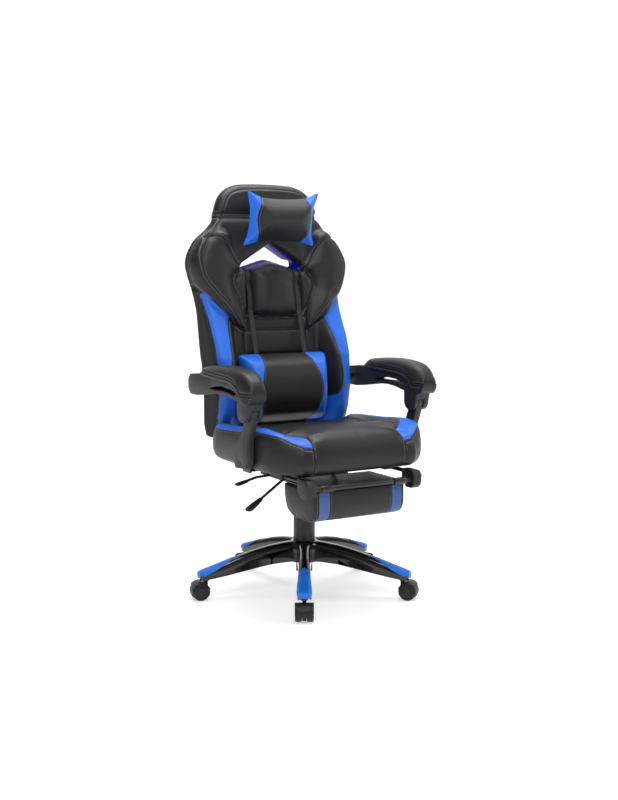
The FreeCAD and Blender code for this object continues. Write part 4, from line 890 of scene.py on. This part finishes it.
def makeFootrest():
    smooth = curve(restPad["section"], 4)
    pad = slab("footrest_cover", smooth * mm, -restPad["half"] * mm, restPad["half"] * mm, "X")
    remeshed(pad, restPad["voxel"])
    spots = places(pad) / mm
    ends = swell(restPad["half"] - np.abs(spots[:, 0]), restPad["endRound"])
    for column, centre in zip((1, 2), restPad["middle"]):
        spots[:, column] = centre + (spots[:, column] - centre) * (1 - restPad["endShrink"] * (1 - ends))
    spots[:, 2] = np.minimum(spots[:, 2], restPad["top"])
    setPlaces(pad, spots * mm)
    low, high = restPad["blueBands"]
    across = np.abs(spots[:, 0])
    gap = np.minimum(np.abs(across - low), np.abs(across - high))
    held = np.maximum(np.clip(1 - gap / 8, 0, 0.9), ease(spots[:, 2], 355, 366))
    inflate(pad, held, 4.0, 6)
    subdivided(pad)
    spots = places(pad) / mm
    across = np.abs(spots[:, 0])
    flat = np.column_stack([across, spots[:, 1] + spots[:, 2]])
    seams = [np.array([(level, -200), (level, 500)], float) for level in (low, high)]
    sewn(pad, flat, seams, True, 1.8, 2.8)
    setField(pad, "blueDepth", np.minimum(across - low, high - across) * mm)
    giveMaterial(pad, paints["restHide"])
    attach(pad, "footrest_pad")
    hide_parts("footrest_pad")


armPad = {
    "crown": [(72, 673), (52, 688), (20, 694), (-75, 700), (-145, 698), (-198, 689), (-230, 669),
              (-243, 645), (-242, 622), (-230, 607), (-214, 604)],
    "under": [(-200, 618), (-180, 641), (-140, 656), (-60, 660), (35, 665), (66, 666)],
    "half": 38, "middle": 283, "sideRound": 26, "sideDrop": 0.72, "noseReach": 160,
    "seamRise": (10, 18), "seamFrom": 22, "voxel": 4.5,
}


def makeArmPad(side, sign):
    under = curve(armPad["under"], 5)
    loop = np.vstack([curve(armPad["crown"], 5), under])
    middleLine, half = sign * armPad["middle"], armPad["half"]
    pad = slab("arm_cushion_" + side, loop * mm, (middleLine - half) * mm, (middleLine + half) * mm, "X")
    remeshed(pad, armPad["voxel"])
    spots = places(pad) / mm
    offset = spots[:, 0] - middleLine
    floor = np.interp(spots[:, 1], under[:, 0], under[:, 1])
    drop = 1 - swell(half - np.abs(offset) + 1, armPad["sideRound"])
    spots[:, 2] -= np.maximum(spots[:, 2] - floor, 0) * drop * armPad["sideDrop"]
    ends = np.array(armPad["crown"], float)[:, 0]
    reach = np.clip(np.abs(spots[:, 1] - (ends.min() + ends.max()) / 2) / armPad["noseReach"], 0, 1)
    spots[:, 0] = middleLine + offset * np.sqrt(np.maximum(1 - reach ** 7, 0.5))
    setPlaces(pad, spots * mm)
    held = np.clip(1.1 - (spots[:, 2] - floor) / 16, 0, 1)
    inflate(pad, held, 4.0, 5)
    subdivided(pad)
    spots = places(pad) / mm
    height = spots[:, 2] - np.interp(spots[:, 1], under[:, 0], under[:, 1])
    seams = [np.array([(-300, level), (120, level)], float) for level in armPad["seamRise"]]
    outer = np.abs(spots[:, 0] - middleLine) > armPad["seamFrom"]
    sewn(pad, np.column_stack([spots[:, 1], height]), seams, outer, 1.4, 2.2)
    setField(pad, "blueDepth", np.full(len(spots), -1.0))
    giveMaterial(pad, paints["plainHide"])
    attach(pad, "arm_" + side)
    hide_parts("arm_pad_" + side)


def refined(node, paint, width):
    source = nodes[node]
    maker = bmesh.new()
    maker.from_mesh(source.data)
    bmesh.ops.remove_doubles(maker, verts=maker.verts, dist=sameSpot)
    bmesh.ops.dissolve_limit(maker, angle_limit=math.radians(1.5), verts=maker.verts, edges=maker.edges)
    sharp = [edge for edge in maker.edges if len(edge.link_faces) == 2
             and edge.calc_face_angle(0) > math.radians(32)]
    bmesh.ops.bevel(maker, geom=sharp, offset=width * mm, offset_type="OFFSET", segments=2, profile=0.5,
                    affect="EDGES", material=-1, clamp_overlap=True)
    bmesh.ops.triangulate(maker, faces=maker.faces, quad_method="BEAUTY", ngon_method="BEAUTY")
    piece = newPiece(node + "_finished", maker)
    smoothed(piece, 35)
    giveMaterial(piece, paint)
    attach(piece, source["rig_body"])
    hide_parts(node)


def gridPiece(name, rows, columns, place, closed=False):
    maker = bmesh.new()
    bmesh.ops.create_grid(maker, x_segments=rows, y_segments=columns, size=0.5)
    for spot in maker.verts:
        spot.co = Vector(place(spot.co.x + 0.5, spot.co.y + 0.5)) * mm
    bmesh.ops.remove_doubles(maker, verts=maker.verts, dist=sameSpot)
    if closed:
        bmesh.ops.holes_fill(maker, edges=maker.edges, sides=0)
    bmesh.ops.recalc_face_normals(maker, faces=maker.faces)
    return newPiece(name, maker)


def joined(name, pieces):
    maker = bmesh.new()
    for piece in pieces:
        maker.from_mesh(piece.data)
        bpy.data.objects.remove(piece)
    return newPiece(name, maker)


base = {
    "firstLeg": -120.2, "legs": 5,
    "reach": [24, 60, 110, 160, 200, 240, 280, 310, 327.5],
    "top": [156.5, 154, 147, 136, 124.5, 111, 97.5, 88, 82],
    "foot": [96, 96, 92, 84, 77, 70, 64, 60.5, 60.5],
    "half": [25, 21, 18.5, 18.5, 19.5, 20.5, 21, 21, 15],
    "stemReach": 305, "collar": [(6.4, 61), (11, 61), (11.5, 57), (10, 55.4), (6.4, 55.4)],
    "capStart": 205, "capEnd": 328.4, "capSkin": 1.6, "capFoot": 65.5,
    "hubProfile": [(29, 155.5), (33, 156.8), (41, 154), (47, 146), (48.5, 130), (47, 99), (44, 94),
                   (30, 93)],
}


def legPlace(reach, turn, grow=0.0):
    top = np.interp(reach, base["reach"], base["top"])
    foot = np.interp(reach, base["reach"], base["foot"])
    half = np.interp(reach, base["reach"], base["half"]) + grow
    angle = math.pi * turn
    across = -half * math.copysign(abs(math.cos(angle)) ** 0.55, math.cos(angle))
    return across, foot + (top + grow - foot) * abs(math.sin(angle)) ** 0.6


def turnedRound(place, number):
    angle = math.radians(base["firstLeg"] + 360 / base["legs"] * number)
    reach, across, level = place
    return (reach * math.cos(angle) - across * math.sin(angle),
            reach * math.sin(angle) + across * math.cos(angle), level)


def makeCollar(number):
    centre = Vector(turnedRound((base["stemReach"], 0, 0), number)) * mm
    maker = bmesh.new()
    rim = [maker.verts.new(centre + Vector((out, 0, level)) * mm) for out, level in base["collar"]]
    edges = [maker.edges.new(pair) for pair in zip(rim, rim[1:])]
    bmesh.ops.spin(maker, geom=rim + edges, axis=(0, 0, 1), cent=centre, angle=math.tau, steps=32,
                   use_merge=True)
    bmesh.ops.recalc_face_normals(maker, faces=maker.faces)
    return newPiece("collar", maker)


def makeBase():
    legs = []
    for number in range(base["legs"]):
        def leg(along, turn):
            reach = base["reach"][0] + (base["reach"][-1] - base["reach"][0]) * along
            across, level = legPlace(reach, turn)
            return turnedRound((reach, across, level), number)
        legs.append(gridPiece("leg", 48, 26, leg, closed=True))
    maker = bmesh.new()
    ring = [maker.verts.new((reach * mm, 0, level * mm)) for reach, level in base["hubProfile"]]
    edges = [maker.edges.new(pair) for pair in zip(ring, ring[1:])]
    bmesh.ops.spin(maker, geom=ring + edges, axis=(0, 0, 1), cent=(0, 0, 0), angle=math.tau, steps=64,
                   use_merge=True)
    bmesh.ops.recalc_face_normals(maker, faces=maker.faces)
    collars = [makeCollar(number) for number in range(base["legs"])]
    star = joined("star_base_shell", [*legs, *collars, newPiece("hub", maker)])
    smoothed(star, 50)
    giveMaterial(star, paints["gloss"])
    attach(star, "base")
    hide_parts("star_base")


def makeCaps():
    caps = []
    start, end = base["capStart"], base["capEnd"]
    for number in range(base["legs"]):
        def cap(along, turn):
            spread = math.sin(min(along / 0.62, 1) * math.pi / 2) ** 0.8
            low, high = 0.5 - 0.5 * spread, 0.5 + 0.5 * spread
            share = low + (high - low) * turn
            drop = max(0.0, along - 0.86) / 0.14
            reach = start + (end - start) * math.sin(min(along / 0.9, 1) * math.pi / 2) ** 0.9
            skin = base["capSkin"] * min(1, along * 12)
            across, level = legPlace(min(reach, base["reach"][-1]), 0.09 + 0.82 * share, skin)
            level = level + (base["capFoot"] - level) * drop ** 1.5 * 0.98
            return turnedRound((reach, across * (1 - 0.12 * drop), level), number)
        caps.append(gridPiece("cap", 40, 20, cap))
    cover = joined("leg_cover_shells", caps)
    smoothed(cover, 60)
    giveMaterial(cover, paints["coverBlue"])
    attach(cover, "base")
    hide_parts("leg_covers")


caster = {
    # along the axle from the wheel's middle, and out from it
    "wheel": [(-9.5, 6), (-9.5, 21), (-8, 23.6), (-5, 24.9), (5, 24.9), (8, 23.8), (9.6, 21.5), (9.6, 18.4),
              (8.4, 17.6), (8.4, 15.8), (9.8, 15), (10.1, 8), (10.2, 0)],
    "fender": 27.4, "fenderHalf": 25.5, "fenderRound": 3.2, "fenderThick": 1.8,
    "fenderFrom": -28, "fenderTo": 196,       # degrees
}


def middle(node):
    low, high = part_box(node)
    return (Vector(low) + Vector(high)) / 2


def makeWheel(number, side, other):
    centre = middle("caster_wheel_%d_%s" % (number, side))
    axle = (centre - middle("caster_wheel_%d_%s" % (number, other))).normalized()
    up = Vector((0, 0, 1))
    maker = bmesh.new()
    rim = [maker.verts.new(centre + axle * out * mm + up * reach * mm) for out, reach in caster["wheel"]]
    edges = [maker.edges.new(pair) for pair in zip(rim, rim[1:])]
    bmesh.ops.spin(maker, geom=rim + edges, axis=axle, cent=centre, angle=math.tau, steps=56, use_merge=True)
    bmesh.ops.remove_doubles(maker, verts=maker.verts, dist=sameSpot)
    bmesh.ops.holes_fill(maker, edges=maker.edges, sides=0)
    bmesh.ops.recalc_face_normals(maker, faces=maker.faces)
    wheel = newPiece("wheel_%d_%s_disc" % (number, side), maker)
    smoothed(wheel, 40)
    giveMaterial(wheel, paints["wheel"])
    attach(wheel, "wheel_%d_%s" % (number, side))
    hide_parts("caster_wheel_%d_%s" % (number, side))


def makeFender(number):
    left, right = middle("caster_wheel_%d_left" % number), middle("caster_wheel_%d_right" % number)
    centre = (left + right) / 2
    axle = (left - right).normalized()
    stem = middle("caster_hood_%d" % number)
    ahead = Vector((stem.x - centre.x, stem.y - centre.y, 0)).normalized()
    first, last = math.radians(caster["fenderFrom"]), math.radians(caster["fenderTo"])

    def spot(along, across):
        angle = first + (last - first) * along
        side = (across - 0.5) * 2
        reach = caster["fender"] - caster["fenderRound"] * abs(side) ** 5
        place = ahead * math.cos(angle) + Vector((0, 0, math.sin(angle)))
        return (centre + (axle * side * caster["fenderHalf"] + place * reach) * mm) / mm

    fender = gridPiece("caster_fender_%d" % number, 36, 18, spot)
    wall = fender.modifiers.new("thickness", "SOLIDIFY")
    wall.thickness = caster["fenderThick"] * mm
    wall.offset = -1
    applyAll(fender)
    smoothed(fender, 50)
    giveMaterial(fender, paints["nylon"])
    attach(fender, "caster_%d" % number)


# lever's body, half width, half thickness
grips = {
    "height_lever_grip": ("height_lever", 12, 4.6),
    "recline_lever_grip": ("recline_lever", 13, 5.2),
}


def makeGrip(node):
    body, half, thick = grips[node]
    spots = places(nodes[node])
    centre = (spots.min(0) + spots.max(0)) / 2
    along = np.linalg.svd(spots - centre, full_matrices=False)[2][0]
    along = along * (1 if along[0] > 0 else -1)
    length = np.ptp((spots - centre) @ along) / mm * 1.2
    side = np.cross((0, 0, 1), along)
    side = side / np.linalg.norm(side)
    lift = np.cross(along, side)

    def spot(share, turn):
        neck = 0.5 + 0.5 * math.sin(min(1.0, (1 - share) * 1.5 + 0.12) * math.pi / 2)
        width = half * neck * (1 - 0.3 * share)
        end = math.sqrt(max(0.0, 1 - abs(2 * share - 1) ** 9))
        angle = math.tau * turn
        across = width * end * math.copysign(abs(math.cos(angle)) ** 0.7, math.cos(angle))
        high = thick * end * math.copysign(abs(math.sin(angle)) ** 0.7, math.sin(angle))
        return centre / mm + along * (share - 0.5) * length + side * across + lift * high

    grip = gridPiece(body + "_paddle", 30, 28, spot)
    smoothed(grip, 60)
    giveMaterial(grip, paints["nylon"])
    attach(grip, body)
    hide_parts(node)


plainNodes = {
    "zinc": ["caster_stems", "seat_screws"],
    "enamel": ["lift_outer_tube", "back_frame", "height_lever", "recline_lever", "lift_cylinder"],
    "acetal": ["lift_bushing"],
    "chrome": ["lift_rod", "thrust_bearing", "valve_button", "tilt_shaft"],
    "spring": ["tension_spring"],
    "nylon": ["rail_guides"],
}

# finish, material slot, and how far the edges of each node are rounded off
roundedNodes = [
    ("enamel", "mechanism_black", {"mechanism_base": 1.0, "seat_plate": 1.0}),
    ("enamel", "frame_steel", {"seat_frame": 1.0, "recliner_brackets": 1.6, "post_brackets": 1.0,
                               "footrest_rails": 0.8, "footrest_plate": 1.0}),
    ("column", "column_black", {"column_cover_lower": 1.0, "column_cover_middle": 1.0,
                                "column_cover_upper": 1.0}),
    ("nylon", "caster_black", {"footrest_caps": 2.4}),
    ("nylon", "knob_black", {"tension_knob": 1.0}),
    ("armShell", "arm_plastic", {"arm_shell_right": 3.0, "arm_shell_left": 3.0, "arm_post_right": 3.4,
                                 "arm_post_left": 3.4}),
]


def paintNodes():
    for paint, names in plainNodes.items():
        for name in names:
            giveMaterial(nodes[name], paints[paint])
    for paint, slot, widths in roundedNodes:
        for name, width in widths.items():
            refined(name, paints[paint], width)
    for number in range(1, 6):
        refined("caster_hood_%d" % number, paints["nylon"], 1.2)
        makeFender(number)
        makeWheel(number, "left", "right")
        makeWheel(number, "right", "left")
    for name in grips:
        makeGrip(name)
    makeBase()
    makeCaps()


makeView()
makeStudio()
print("view and light ready")
paints = {
    "backHide": hide("backHide", lined=True),
    "plainHide": hide("plainHide"),
    "restHide": hide("restHide", "dullerBlue"),
    "webbing": webbingPaint("webbing"),
    "gloss": moulding("gloss", "glossBlack", 0.08, coat=0.4),
    "coverBlue": moulding("coverBlue", "coverBlue", 0.4),
    "zinc": metal("zinc", "zinc", 0.3),
    "enamel": metal("enamel", "mattBlack", 0.34, metallic=0.0),
    "acetal": moulding("acetal", "acetal", 0.4),
    "chrome": metal("chrome", "zinc", 0.12),
    "spring": metal("spring", "charcoal", 0.35),
    "column": moulding("column", "charcoal", 0.42),
    "nylon": moulding("nylon", "mattBlack", 0.42),
    "armShell": moulding("armShell", "charcoal", 0.44),
    "wheel": moulding("wheel", "mattBlack", 0.36),
}
print("finishes ready")
makeBack()
print("backrest made")
makePillow("head_pillow_cover", headPillow, "head_pillow")
makePillow("lumbar_pillow_cover", lumbarPillow, "lumbar_pillow")
makeStraps()
print("pillows made")
makeSeat()
print("seat made")
makeFootrest()
for armSide, armSign in (("right", -1), ("left", 1)):
    makeArmPad(armSide, armSign)
print("footrest and arm pads made")
paintNodes()
